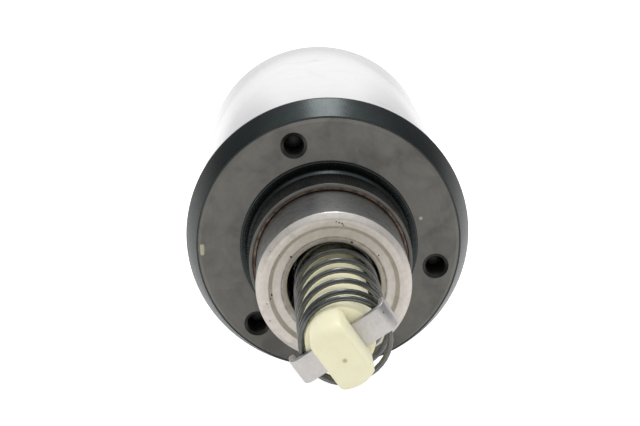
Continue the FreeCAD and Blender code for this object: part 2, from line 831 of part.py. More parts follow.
def make_cap():
    """Moulded terminal cap with its gasket: base flange, switch chamber, stud bosses and barrier."""
    turned_body("cap_gasket", ring_outline(
        S.gasket_inner_radius, can_bore - S.seat_gap, core_rear, cap_front))
    body = turned_body("terminal_cap", [
        (AXIS, cap_wall_front),
        (S.cap_bore, cap_wall_front),
        (S.cap_bore, cap_front),
        (can_bore - S.seat_gap, cap_front),
        (can_bore - S.seat_gap, cap_base_rear),
        (S.cap_radius, cap_base_rear),
        (S.cap_radius - S.cap_draft, cap_rear),
        (AXIS, cap_rear),
    ])
    turned = body.Tip
    rim = circular_edges(turned, S.cap_radius - S.cap_draft, cap_rear)
    fillet(body, turned, rim, S.cap_edge, "cap_rim_rounding")
    bosses = new_sketch(body, "stud_bosses", "XZ_Plane", -cap_rear)
    add_circle(bosses, S.stud_spread, AXIS, S.boss_radius)
    add_circle(bosses, -S.stud_spread, AXIS, S.boss_radius)
    pad(body, bosses, "stud_boss_pads", S.boss_height, reverse=True)
    barrier = new_sketch(body, "barrier_plan", "XZ_Plane", -cap_rear)
    half = S.barrier_thickness / 2
    low = S.barrier_width * -0.5
    high = blade_height - S.blade_thickness * 4
    add_rectangle(barrier, -half, low, half, high)
    wall = pad(body, barrier, "barrier_wall", S.barrier_height, reverse=True)

    def barrier_top(edge, middle):
        """True for the edges round the free top of the barrier."""
        return abs(middle.y - (cap_rear + S.barrier_height).value) < 0.01

    fillet(body, wall, edges_near(wall, barrier_top), S.barrier_edge, "barrier_rounding")
    stud_holes = new_sketch(body, "stud_holes", "XZ_Plane", -boss_rear)
    add_circle(stud_holes, S.stud_spread, AXIS, S.stud_radius + S.stud_hole_gap)
    add_circle(stud_holes, -S.stud_spread, AXIS, S.stud_radius + S.stud_hole_gap)
    pocket(body, stud_holes, "stud_hole_cuts", S.cap_rear_wall + S.boss_height, reverse=True)
    seal_seats = new_sketch(body, "seal_seats", "XZ_Plane", -cap_wall_front)
    seat_radius = S.stud_radius + S.seal_section + S.stud_hole_gap * 2
    add_circle(seal_seats, S.stud_spread, AXIS, seat_radius)
    add_circle(seal_seats, -S.stud_spread, AXIS, seat_radius)
    pocket(body, seal_seats, "seal_seat_cuts", S.seal_section)
    spring_pocket = new_sketch(body, "return_pocket", "XZ_Plane", -cap_wall_front)
    add_circle(spring_pocket, AXIS, AXIS, S.cap_pocket_radius)
    pocket(body, spring_pocket, "return_pocket_cut", S.cap_pocket_depth)
    blade_slot = new_sketch(body, "blade_slot", "XZ_Plane", -cap_wall_front)
    slot_half = S.blade_width / 2 + S.running_gap
    slot_low = blade_height - S.running_gap
    slot_high = blade_height + S.blade_thickness + S.running_gap
    add_rectangle(blade_slot, -slot_half, slot_low, slot_half, slot_high)
    pocket(body, blade_slot, "blade_slot_cut", S.cap_rear_wall)
    return body


def make_stud(label, side):
    """Copper terminal stud: a round contact head inside the cap and a threaded end outside."""
    body = new_body(label)
    across = S.stud_spread * side
    head = new_sketch(body, f"{label}_head_plan", "XZ_Plane", -stud_head_front)
    add_circle(head, across, AXIS, S.stud_head_radius)
    pad(body, head, f"{label}_head", S.stud_head, reverse=True)
    shank = new_sketch(body, f"{label}_shank_plan", "XZ_Plane", -stud_head_rear)
    add_circle(shank, across, AXIS, S.stud_radius)
    shank_pad = pad(body, shank, f"{label}_shank", S.cap_rear_wall + S.stud_length, reverse=True)
    stud_end = (cap_rear + S.stud_length).value

    def at_end(edge, middle):
        """True for the edge round the stud's free end."""
        return abs(middle.y - stud_end) < 0.01

    chamfer(body, shank_pad, edges_near(shank_pad, at_end), S.stud_chamfer, f"{label}_end")
    return body


def stud_ring(label, outer, front, thickness):
    """A ring round the right-hand stud, raised from its plan."""
    body = new_body(label)
    plan = new_sketch(body, f"{label}_plan", "XZ_Plane", -front)
    add_circle(plan, S.stud_spread, AXIS, outer)
    add_circle(plan, S.stud_spread, AXIS, S.stud_radius + S.stud_hole_gap)
    pad(body, plan, f"{label}_pad", thickness, reverse=True)
    return body


def stud_nut(label, front, thickness):
    """A hexagon nut round the right-hand stud, with its corners turned off at both ends."""
    body = new_body(label)
    plan = new_sketch(body, f"{label}_plan", "XZ_Plane", -front)
    corner_radius = S.nut_flats / 2 / Size(30.0, "30").cos()
    corners = []
    for corner in range(6):
        angle = 60.0 * corner
        across = S.stud_spread + corner_radius * math.cos(math.radians(angle))
        corners.append((across, corner_radius * math.sin(math.radians(angle)) if corner % 3 else AXIS))
    add_outline(plan, corners)
    add_circle(plan, S.stud_spread, AXIS, S.stud_radius + S.press_gap)
    pad(body, plan, f"{label}_pad", thickness, reverse=True)
    flat_radius = S.nut_flats / 2
    for end, inner, outer in (("front", front, front + S.nut_chamfer_depth),
                              ("rear", front + thickness, front + thickness - S.nut_chamfer_depth)):
        bevel = new_sketch(body, f"{label}_{end}_bevel", "XY_Plane")
        add_outline(bevel, [
            (flat_radius, inner),
            (corner_radius + S.nut_chamfer_depth, inner),
            (corner_radius + S.nut_chamfer_depth, outer),
        ])
        bevel.setExpression("AttachmentOffset.Base.x", S.stud_spread.text)
        revolve(body, bevel, f"{label}_{end}_bevel_cut", "PartDesign::Groove")
    return body


def make_terminals():
    """Both main studs with their seals, washers and nuts."""
    make_stud("battery_stud", -1)
    make_stud("motor_stud", 1)
    seal = new_body("stud_seals")
    section = new_sketch(seal, "seal_section_plan", "XY_Plane")
    inner = S.stud_radius + S.stud_hole_gap
    outer = inner + S.seal_section
    corner = S.seal_section / 4
    front = cap_wall_front
    rear = cap_wall_front + S.seal_section - S.running_gap
    add_outline(section, [
        (inner + corner, front),
        (outer - corner, front),
        (outer, front + corner),
        (outer, rear - corner),
        (outer - corner, rear),
        (inner + corner, rear),
        (inner, rear - corner),
        (inner, front + corner),
    ])
    section.setExpression("AttachmentOffset.Base.x", S.stud_spread.text)
    revolve(seal, section, "seal_ring")
    pair("stud_seals", seal)
    washer_front = boss_rear
    jam_front = washer_front + S.washer_thickness
    lock_front = jam_front + S.jam_nut
    nut_front = lock_front + S.lock_washer
    pair("flat_washers", stud_ring("flat_washers", S.washer_radius, washer_front, S.washer_thickness))
    pair("jam_nuts", stud_nut("jam_nuts", jam_front, S.jam_nut))
    lock = stud_ring("lock_washers", S.lock_washer_radius, lock_front, S.lock_washer)
    split = new_sketch(lock, "washer_split", "XY_Plane")
    half = S.lock_washer_split / 2
    add_outline(split, [
        (S.stud_spread - half * 3, lock_front),
        (S.stud_spread - half, lock_front),
        (S.stud_spread + half * 3, nut_front),
        (S.stud_spread + half, nut_front),
    ])
    pocket(lock, split, "washer_split_cut", S.lock_washer_radius)
    pair("lock_washers", lock)
    pair("terminal_nuts", stud_nut("terminal_nuts", nut_front, S.terminal_nut))


def make_control_terminal():
    """Brass blade through the cap's rear wall, with a foot inside for the winding lead."""
    body = new_body("control_terminal")
    foot_front = cap_wall_front - S.blade_thickness
    blade_top = blade_height + S.blade_thickness
    blade_end = cap_rear + S.blade_length
    side = new_sketch(body, "blade_side", "YZ_Plane")
    add_outline(side, [
        (foot_front, blade_height),
        (blade_end, blade_height),
        (blade_end, blade_top),
        (cap_wall_front, blade_top),
        (cap_wall_front, blade_foot_top),
        (foot_front, blade_foot_top),
    ])
    strip = centred_pad(body, side, "blade_strip", S.blade_width)

    def at_tip(edge, middle):
        """True for the short edges at the corners of the blade's tip."""
        at_end = abs(middle.y - blade_end.value) < 0.01
        return at_end and abs(edge.Length - S.blade_thickness.value) < 0.01

    chamfer(body, strip, edges_near(strip, at_tip), S.blade_tip_chamfer, "blade_tip")
    eye = new_sketch(body, "blade_eye", "XY_Plane", blade_top)
    add_circle(eye, AXIS, blade_end - S.blade_hole_inset, S.blade_hole)
    pocket(body, eye, "blade_eye_cut", S.blade_thickness)
    return body


def make_winding_leads():
    """Two stiff leads from the windings, one to the control blade and one to the motor stud."""
    front = bobbin_rear - S.bobbin_cheek - S.seat_gap
    ends = {
        "lead_to_blade": (AXIS, lead_circle, cap_wall_front - S.blade_thickness),
        "lead_to_motor_stud": (lead_circle, AXIS, stud_head_front),
    }
    leads = []
    for name, (across, up, rear) in ends.items():
        lead = doc.addObject("Part::Cylinder", name)
        lead.setExpression("Radius", S.lead_radius.text)
        lead.setExpression("Height", (rear - front).text)
        lead.Placement.Rotation = FreeCAD.Rotation(FreeCAD.Vector(1, 0, 0), -90)
        lead.setExpression("Placement.Base.x", across.text)
        lead.setExpression("Placement.Base.y", front.text)
        lead.setExpression("Placement.Base.z", up.text)
        leads.append(lead)
    both = doc.addObject("Part::Compound", "winding_leads")
    both.Links = leads
    both.Label = "winding_leads"
    nodes.append(both)
    return both


make_front_flange()
make_guide_sleeve()
make_can()
make_coil()
make_stationary_core()
make_plunger()
make_pull_rod()
make_spring_key()
make_springs()
make_contact_group()
make_cap()
make_terminals()
make_control_terminal()
make_winding_leads()
doc.recompute()

for item in doc.Objects:
    if "Invalid" in item.State or "Error" in item.State:
        raise RuntimeError(f"{item.Label} did not compute: {item.State}")
os.makedirs("parts", exist_ok=True)
for node in nodes:
    if node.Shape.isNull() or not node.Shape.isValid():
        raise RuntimeError(f"{node.Label} has no valid shape")
    node.Shape.exportStep(os.path.join("parts", f"{node.Label}.step"))
    print(node.Label, len(node.Shape.Solids), round(node.Shape.Volume, 1))
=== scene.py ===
"""Starter solenoid: finished pieces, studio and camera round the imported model.

Lengths in the classes are millimetres in the model's own frame: the axis lies along Y with the
plunger towards -Y, +Z is up, and the origin is the centre of the flange's mounting face.
"""
import logging
import math
from collections.abc import Callable
from dataclasses import dataclass
from enum import Enum

import bmesh
import bpy
from mathutils import Matrix, Vector


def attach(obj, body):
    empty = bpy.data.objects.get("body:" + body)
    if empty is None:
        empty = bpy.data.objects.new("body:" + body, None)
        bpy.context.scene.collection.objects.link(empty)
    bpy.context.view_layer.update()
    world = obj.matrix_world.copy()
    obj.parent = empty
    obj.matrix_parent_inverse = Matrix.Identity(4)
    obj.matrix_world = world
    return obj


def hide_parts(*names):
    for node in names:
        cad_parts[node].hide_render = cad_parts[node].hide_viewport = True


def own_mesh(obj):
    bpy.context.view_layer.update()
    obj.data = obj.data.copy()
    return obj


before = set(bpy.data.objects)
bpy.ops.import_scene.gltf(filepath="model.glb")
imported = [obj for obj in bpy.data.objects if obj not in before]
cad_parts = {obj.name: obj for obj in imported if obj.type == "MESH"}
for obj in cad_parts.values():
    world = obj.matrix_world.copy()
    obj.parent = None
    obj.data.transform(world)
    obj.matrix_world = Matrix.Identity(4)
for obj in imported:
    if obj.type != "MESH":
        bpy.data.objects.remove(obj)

log = logging.getLogger("starter_solenoid")

# Short names for the kinds of values that the classes pass on
Colour = tuple[float, float, float]
Point = tuple[float, float, float]
Pair = tuple[float, float]
Piece = bpy.types.Object
Socket = bpy.types.NodeSocket

# One millimetre in metres, and how near a place and how straight an edge lies that a test picks
MM = 0.001
NEAR = 0.01
ALONG = 0.9
CENTRE = (0.0, 0.0, 0.0)
AXIS_LINE = (0.0, 1.0, 0.0)
WHITE = (1.0, 1.0, 1.0, 1.0)


class Body(Enum):
    """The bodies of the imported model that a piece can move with."""

    HOUSING = "housing"
    PLUNGER = "plunger"
    PULL_ROD = "pull_rod"
    CONTACT_ROD = "contact_rod"
    CONTACT_DISC = "contact_disc"


class Side(Enum):
    """The two main terminals, by the side of the axis that they stand on."""

    BATTERY = -1
    MOTOR = 1


# Meshes


def link(name: str, data: bpy.types.ID) -> Piece:
    """Makes an object of a mesh, a lamp or a camera and puts it into the scene.

    Args:
        name: the object's name.
        data: what the object shows.

    Returns:
        The new object, at the origin.
    """
    made = bpy.data.objects.new(name, data)
    bpy.context.scene.collection.objects.link(made)
    return made


def shade(mesh: bpy.types.Mesh, sharp_angle: float) -> None:
    """Shades a mesh smooth, and sharp at edges of more than an angle in degrees."""
    mesh.shade_smooth()
    mesh.set_sharp_from_angle(angle=math.radians(sharp_angle))


@dataclass(frozen=True)
class Corner:
    """One corner of a turned outline: its radius, its place along the axis and its rounding."""

    radius: float
    place: float
    rounding: float = 0.0


class Form:
    """A mesh in the making, in millimetres, that ends as an object at the origin."""

    def __init__(self) -> None:
        """Starts an empty mesh."""
        self.mesh = bmesh.new()

    def turn(self, corners: list[Corner], steps: int, closed: bool = True) -> "Form":
        """Spins an outline about the model's axis and rounds its corners.

        Args:
            corners: the outline, in order round the section.
            steps: how many flats make the full turn.
            closed: whether the last corner joins the first.

        Returns:
            This form.
        """
        points = [self.mesh.verts.new((c.radius, c.place, 0.0)) for c in corners]
        following = points[1:] + points[:1] if closed else points[1:]
        edges = [self.mesh.edges.new(ends) for ends in zip(points, following)]
        bmesh.ops.spin(
            self.mesh, geom=points + edges, axis=AXIS_LINE, cent=CENTRE,
            angle=math.tau, steps=steps, use_merge=True,
        )
        self.clean()
        for corner in corners:
            if corner.rounding > 0.0:
                self.round_ring(corner)
        return self.face_outwards()

    def round_ring(self, corner: Corner) -> None:
        """Bevels the ring of edges that a corner of the outline made."""
        ring = [
            edge for edge in self.mesh.edges
            if all(self.on_ring(vert.co, corner) for vert in edge.verts)
        ]
        self.bevel(ring, corner.rounding, 4)

    @staticmethod
    def on_ring(point: Vector, corner: Corner, gap: float = 1e-3) -> bool:
        """Whether a point lies on the ring of a corner."""
        reach = math.hypot(point.x, point.z)
        return abs(reach - corner.radius) < gap and abs(point.y - corner.place) < gap

    def bevel(self, edges: list[bmesh.types.BMEdge], offset: float, segments: int,
              clamp: bool = True) -> "Form":
        """Rounds some edges.

        Args:
            edges: the edges to round.
            offset: width of the rounding.
            segments: how many flats make the rounding.
            clamp: whether a rounding stops where it meets another one.

        Returns:
            This form.
        """
        bmesh.ops.bevel(
            self.mesh, geom=edges, offset=offset, offset_type="OFFSET", segments=segments,
            profile=0.5, affect="EDGES", clamp_overlap=clamp, material=-1,
        )
        return self

    def clean(self, gap: float = 1e-4, sliver: float = 0.1) -> "Form":
        """Merges points that lie on each other and drops faces with no area.

        Args:
            gap: how near two points are that become one.
            sliver: the share of that gap under which an edge counts as having no length.

        Returns:
            This form.
        """
        bmesh.ops.remove_doubles(self.mesh, verts=self.mesh.verts, dist=gap)
        bmesh.ops.dissolve_degenerate(self.mesh, dist=gap * sliver, edges=self.mesh.edges)
        return self

    def face_outwards(self) -> "Form":
        """Turns every face to point out of the solid."""
        bmesh.ops.recalc_face_normals(self.mesh, faces=self.mesh.faces)
        return self

    def box(self, size: Point, centre: Point) -> "Form":
        """Adds a box.

        Args:
            size: its length along each axis.
            centre: the place of its middle.

        Returns:
            This form.
        """
        made = bmesh.ops.create_cube(self.mesh, size=1.0)
        bmesh.ops.scale(self.mesh, verts=made["verts"], vec=size)
        bmesh.ops.translate(self.mesh, verts=made["verts"], vec=centre)
        return self

    def cylinder(self, radius: float, front: float, rear: float, steps: int) -> "Form":
        """Adds a round or many-sided bar along the axis.

        Args:
            radius: from the axis to the bar's corners.
            front: where the bar starts.
            rear: where it ends.
            steps: how many sides it has.

        Returns:
            This form.
        """
        upright = Matrix.Translation((0.0, (front + rear) / 2, 0.0))
        upright = upright @ Matrix.Rotation(math.pi / 2, 4, "X")
        bmesh.ops.create_cone(
            self.mesh, cap_ends=True, segments=steps, radius1=radius, radius2=radius,
            depth=rear - front, matrix=upright,
        )
        return self

    def prism(self, outline: list[Pair], width: float) -> "Form":
        """Raises a flat outline to both sides of its plane.

        Args:
            outline: the corners in X and Y, in order.
            width: the whole thickness along Z.

        Returns:
            This form.
        """
        corners = [self.mesh.verts.new((across, along, -width / 2)) for across, along in outline]
        grown = bmesh.ops.extrude_face_region(self.mesh, geom=[self.mesh.faces.new(corners)])
        moved = [item for item in grown["geom"] if isinstance(item, bmesh.types.BMVert)]
        bmesh.ops.translate(self.mesh, verts=moved, vec=(0.0, 0.0, width))
        return self.face_outwards()

    def twin(self, spread: float) -> "Form":
        """Sets the form on one side of the axis and a copy of it on the other.

        Args:
            spread: how far each stands from the axis.

        Returns:
            This form.
        """
        whole = self.mesh.verts[:] + self.mesh.edges[:] + self.mesh.faces[:]
        copy = bmesh.ops.duplicate(self.mesh, geom=whole)
        moved = [item for item in copy["geom"] if isinstance(item, bmesh.types.BMVert)]
        bmesh.ops.translate(self.mesh, verts=moved, vec=(2.0 * spread, 0.0, 0.0))
        return self.shift((-spread, 0.0, 0.0))

    def round_edges(self, test: Callable[[Vector, Vector], bool], offset: float,
                    segments: int = 6) -> "Form":
        """Rounds the edges that a test picks by their middle and direction.

        Args:
            test: takes an edge's middle and direction, and says whether it is rounded.
            offset: width of the rounding.
            segments: how many flats make the rounding.

        Returns:
            This form.
        """
        chosen = [
            edge for edge in self.mesh.edges
            if test((edge.verts[0].co + edge.verts[1].co) / 2,
                    (edge.verts[1].co - edge.verts[0].co).normalized())
        ]
        return self.bevel(chosen, offset, segments, clamp=False)

    def shift(self, move: Point) -> "Form":
        """Moves the whole form."""
        bmesh.ops.translate(self.mesh, verts=self.mesh.verts, vec=move)
        return self

    def rotate(self, degrees: float, axis: str) -> "Form":
        """Turns the whole form about an axis through the origin.

        Args:
            degrees: how far it turns.
            axis: X, Y or Z.

        Returns:
            This form.
        """
        turn = Matrix.Rotation(math.radians(degrees), 3, axis)
        bmesh.ops.rotate(self.mesh, verts=self.mesh.verts, cent=CENTRE, matrix=turn)
        return self

    def bevel_sharp(self, offset: float, segments: int = 3, least_angle: float = 35.0) -> "Form":
        """Rounds every edge where two faces meet at more than an angle.

        Args:
            offset: width of the rounding.
            segments: how many flats make the rounding.
            least_angle: the angle in degrees from which an edge counts as sharp.

        Returns:
            This form.
        """
        limit = math.radians(least_angle)
        sharp = [
            edge for edge in self.mesh.edges
            if edge.is_manifold and edge.calc_face_angle(0.0) > limit
        ]
        return self.bevel(sharp, offset, segments)

    def object(self, name: str, sharp_angle: float = 32.0) -> Piece:
        """Makes the scene's object from the form, in metres.

        Args:
            name: the object's name.
            sharp_angle: edges with a larger angle in degrees are shaded as sharp.

        Returns:
            The new object, at the origin.
        """
        bmesh.ops.scale(self.mesh, verts=self.mesh.verts, vec=(MM, MM, MM))
        data = bpy.data.meshes.new(name)
        self.mesh.to_mesh(data)
        self.mesh.free()
        shade(data, sharp_angle)
        return link(name, data)


def combine(base: Piece, tools: list[Piece], operation: str,
            sharp_angle: float = 32.0) -> Piece:
    """Cuts or intersects an object with others, and removes those.

    Args:
        base: the object that stays.
        tools: the objects that cut it.
        operation: DIFFERENCE, INTERSECT or UNION.
        sharp_angle: edges with a larger angle in degrees are shaded as sharp.

    Returns:
        The base, with its new mesh.
    """
    for tool in tools:
        boolean = base.modifiers.new("cut", "BOOLEAN")
        boolean.object = tool
        boolean.operation = operation
        boolean.solver = "EXACT"
    bpy.context.view_layer.update()
    graph = bpy.context.evaluated_depsgraph_get()
    cut = bpy.data.meshes.new_from_object(base.evaluated_get(graph))
    base.modifiers.clear()
    base.data = cut
    cut.name = base.name
    shade(cut, sharp_angle)
    for tool in tools:
        bpy.data.objects.remove(tool)
    return base


# Shaders


class Graph:
    """Adds nodes to one material, world or group and links them."""

    def __init__(self, tree: bpy.types.NodeTree) -> None:
        """Takes the tree that the nodes go into."""
        self.tree = tree

    @classmethod
    def of(cls, owner: bpy.types.Material | bpy.types.World) -> "Graph":
        """Empties the node tree of a material or a world.

        Args:
            owner: the material or world.

        Returns:
            The graph that fills its tree.
        """
        owner.use_nodes = True
        owner.node_tree.nodes.clear()
        return cls(owner.node_tree)

    def add(self, kind: str, inputs: dict | None = None, **settings: object) -> bpy.types.Node:
        """Adds one node.

        Args:
            kind: the node's type without the leading ShaderNode.
            inputs: sockets or constants by the input's name or number.
            settings: properties of the node itself.

        Returns:
            The node.
        """
        node = self.tree.nodes.new("ShaderNode" + kind)
        for name, value in settings.items():
            setattr(node, name, value)
        for name, value in (inputs or {}).items():
            self.feed(node.inputs[name], value)
        return node

    def feed(self, socket: Socket, value: object) -> None:
        """Links a socket to another, or sets its constant.

        Args:
            socket: the input.
            value: an output socket or a constant.
        """
        if isinstance(value, Socket):
            self.tree.links.new(value, socket)
        else:
            socket.default_value = value

    def math(self, operation: str, *values: object) -> Socket:
        """Adds a Math node and returns its result."""
        node = self.add("Math", dict(enumerate(values)), operation=operation)
        return node.outputs[0]

    def mix(self, share: object, first: object, second: object) -> Socket:
        """Mixes two colours by a share and returns the colour."""
        # The node repeats its sockets' names for each kind of data: 6, 7 and 2 are the colours'
        node = self.add("Mix", {0: share, 6: first, 7: second}, data_type="RGBA")
        return node.outputs[2]

    def ramp(self, value: object, low: float, high: float) -> Socket:
        """Maps a value to 0 below low and 1 above high, with a smooth rise between."""
        node = self.add(
            "MapRange", {"Value": value, "From Min": low, "From Max": high},
            interpolation_type="SMOOTHSTEP",
        )
        return node.outputs["Result"]


class Effect:
    """A shader node group with named inputs and one output, built once."""

    def __init__(self, name: str, output: str, **inputs: object) -> None:
        """Makes the group's sockets, the place on the surface first.

        Args:
            name: the group's name.
            output: the name of the value that it puts out.
            inputs: default values by name; a tuple makes a vector.
        """
        self.tree = bpy.data.node_groups.new(name, "ShaderNodeTree")
        for word, value in {"vector": CENTRE, **inputs}.items():
            kind = "NodeSocketVector" if isinstance(value, tuple) else "NodeSocketFloat"
            socket = self.tree.interface.new_socket(
                self.label(word), in_out="INPUT", socket_type=kind)
            socket.default_value = value
        self.tree.interface.new_socket(output, in_out="OUTPUT", socket_type="NodeSocketFloat")
        self.graph = Graph(self.tree)
        self.given = self.tree.nodes.new("NodeGroupInput").outputs
        self.result = self.tree.nodes.new("NodeGroupOutput").inputs[0]

    @staticmethod
    def label(word: str) -> str:
        """The name of a socket, from the word that the script uses for it."""
        return word.replace("_", " ").capitalize()

    def give(self, value: Socket) -> "Effect":
        """Puts a value out and hands the group back."""
        self.graph.feed(self.result, value)
        return self

    def place(self, graph: Graph, **values: object) -> Socket:
        """Puts the group into a material with its own values.

        Args:
            graph: the material's graph.
            values: sockets or constants by the input's word.

        Returns:
            What the group puts out.
        """
        node = graph.tree.nodes.new("ShaderNodeGroup")
        node.node_tree = self.tree
        for word, value in values.items():
            graph.feed(node.inputs[self.label(word)], value)
        return node.outputs[0]


class Effects:
    """The effects that several finishes share, each built once."""

    def __init__(self) -> None:
        """Builds the groups."""
        self.turned_lines = self.build_turned_lines()
        self.grain = self.build_grain()
        self.soiling = self.build_soiling()
        self.flecks = self.build_flecks()
        self.spot = self.build_spot()
        self.band = self.build_band()

    @staticmethod
    def millimetres(graph: Graph, vector: Socket) -> Socket:
        """Turns object coordinates into millimetres."""
        return graph.add("VectorMath", {0: vector, "Scale": 1 / MM}, operation="SCALE").outputs[0]

    @staticmethod
    def polar(graph: Graph, vector: Socket) -> tuple[Socket, Socket]:
        """Measures from the model's axis, in millimetres.

        Args:
            graph: the group's graph.
            vector: object coordinates.

        Returns:
            The distance from the axis and the place along it.
        """
        parts = graph.add("SeparateXYZ", {0: Effects.millimetres(graph, vector)})
        across, along, up = parts.outputs
        square = graph.math("ADD", graph.math("MULTIPLY", across, across),
                            graph.math("MULTIPLY", up, up))
        return graph.math("SQRT", square), along

    def build_turned_lines(self) -> Effect:
        """Fine rings left by turning or grinding about the model's axis.

        Returns:
            The group.
        """
        effect = Effect("turned_lines", "Height", per_mm=6.0, wander=0.2)
        graph, given = effect.graph, effect.given
        reach, along = self.polar(graph, given["Vector"])
        place = graph.add("CombineXYZ", {"X": reach, "Y": along})
        drift = graph.add("TexNoise", {"Vector": given["Vector"], "Scale": 60.0})
        moved = graph.math("MULTIPLY", drift.outputs["Fac"], given["Wander"])
        shifted = graph.add("VectorMath", {0: place.outputs[0], 1: moved}, operation="ADD")
        lines = graph.add(
            "TexNoise", {"Vector": shifted.outputs[0], "Scale": given["Per mm"], "Detail": 4.0,
                         "Roughness": 0.7})
        return effect.give(lines.outputs["Fac"])

    def build_grain(self) -> Effect:
        """Fine even grain of a moulded, coated or worn surface.

        Returns:
            The group.
        """
        effect = Effect("grain", "Height", size_mm=0.2)
        graph, given = effect.graph, effect.given
        place = self.millimetres(graph, given["Vector"])
        scale = graph.math("DIVIDE", 1.0, given["Size mm"])
        noise = graph.add("TexNoise", {"Vector": place, "Scale": scale, "Detail": 3.0})
        return effect.give(noise.outputs["Fac"])

    def build_soiling(self) -> Effect:
        """Soft-edged patches of handling marks and oil film.

        Returns:
            The group.
        """
        effect = Effect("soiling", "Mask", size_mm=6.0, share=0.4, softness=0.15)
        graph, given = effect.graph, effect.given
        place = self.millimetres(graph, given["Vector"])
        scale = graph.math("DIVIDE", 1.0, given["Size mm"])
        noise = graph.add(
            "TexNoise", {"Vector": place, "Scale": scale, "Detail": 5.0, "Roughness": 0.6,
                         "Distortion": 0.6})
        level = graph.math("SUBTRACT", 1.0, given["Share"])
        low = graph.math("SUBTRACT", level, given["Softness"])
        high = graph.math("ADD", level, given["Softness"])
        return effect.give(graph.ramp(noise.outputs["Fac"], low, high))

    def build_flecks(self) -> Effect:
        """Sparse small specks of dirt.

        Returns:
            The group.
        """
        effect = Effect("flecks", "Mask", spacing_mm=2.0, size=0.12, share=0.3)
        graph, given = effect.graph, effect.given
        place = self.millimetres(graph, given["Vector"])
        wobble = graph.add("TexNoise", {"Vector": place, "Scale": 2.5})
        shaken = graph.add("VectorMath", {0: wobble.outputs["Color"], "Scale": 0.35},
                           operation="SCALE")
        moved = graph.add("VectorMath", {0: place, 1: shaken.outputs[0]}, operation="ADD")
        scale = graph.math("DIVIDE", 1.0, given["Spacing mm"])
        cells = graph.add("TexVoronoi", {"Vector": moved.outputs[0], "Scale": scale})
        parts = graph.add("SeparateColor", {0: cells.outputs["Color"]})
        chosen = graph.math("LESS_THAN", parts.outputs[0], given["Share"])
        size = graph.math("MULTIPLY", given["Size"], parts.outputs[1])
        near = graph.math("LESS_THAN", cells.outputs["Distance"], size)
        return effect.give(graph.math("MULTIPLY", chosen, near))

    def build_spot(self) -> Effect:
        """One soft round mark at a place in millimetres.

        Returns:
            The group.
        """
        effect = Effect("spot", "Mask", centre=CENTRE, radius=0.3, softness=0.5)
        graph, given = effect.graph, effect.given
        place = self.millimetres(graph, given["Vector"])
        gap = graph.add("VectorMath", {0: place, 1: given["Centre"]}, operation="DISTANCE")
        share = graph.math("DIVIDE", gap.outputs["Value"], given["Radius"])
        low = graph.math("SUBTRACT", 1.0, given["Softness"])
        return effect.give(graph.math("SUBTRACT", 1.0, graph.ramp(share, low, 1.0)))

    def build_band(self) -> Effect:
        """A ragged dark ring about the model's axis, at a given radius.

        Returns:
            The group.
        """
        effect = Effect("band", "Mask", radius=10.0, width=0.5, ragged=0.3)
        graph, given = effect.graph, effect.given
        reach, _ = self.polar(graph, given["Vector"])
        ragged = graph.add("TexNoise", {"Vector": given["Vector"], "Scale": 900.0, "Detail": 4.0})
        gap = graph.math("ABSOLUTE", graph.math("SUBTRACT", reach, given["Radius"]))
        torn = graph.math("MULTIPLY", ragged.outputs["Fac"], given["Ragged"])
        share = graph.math("DIVIDE", graph.math("ADD", gap, torn), given["Width"])
        return effect.give(graph.math("SUBTRACT", 1.0, graph.ramp(share, low=0.2, high=1.0)))


@dataclass(frozen=True)
class Mark:
    """A soft round mark on a surface, in millimetres."""

    centre: Point
    radius: float
    softness: float = 0.5


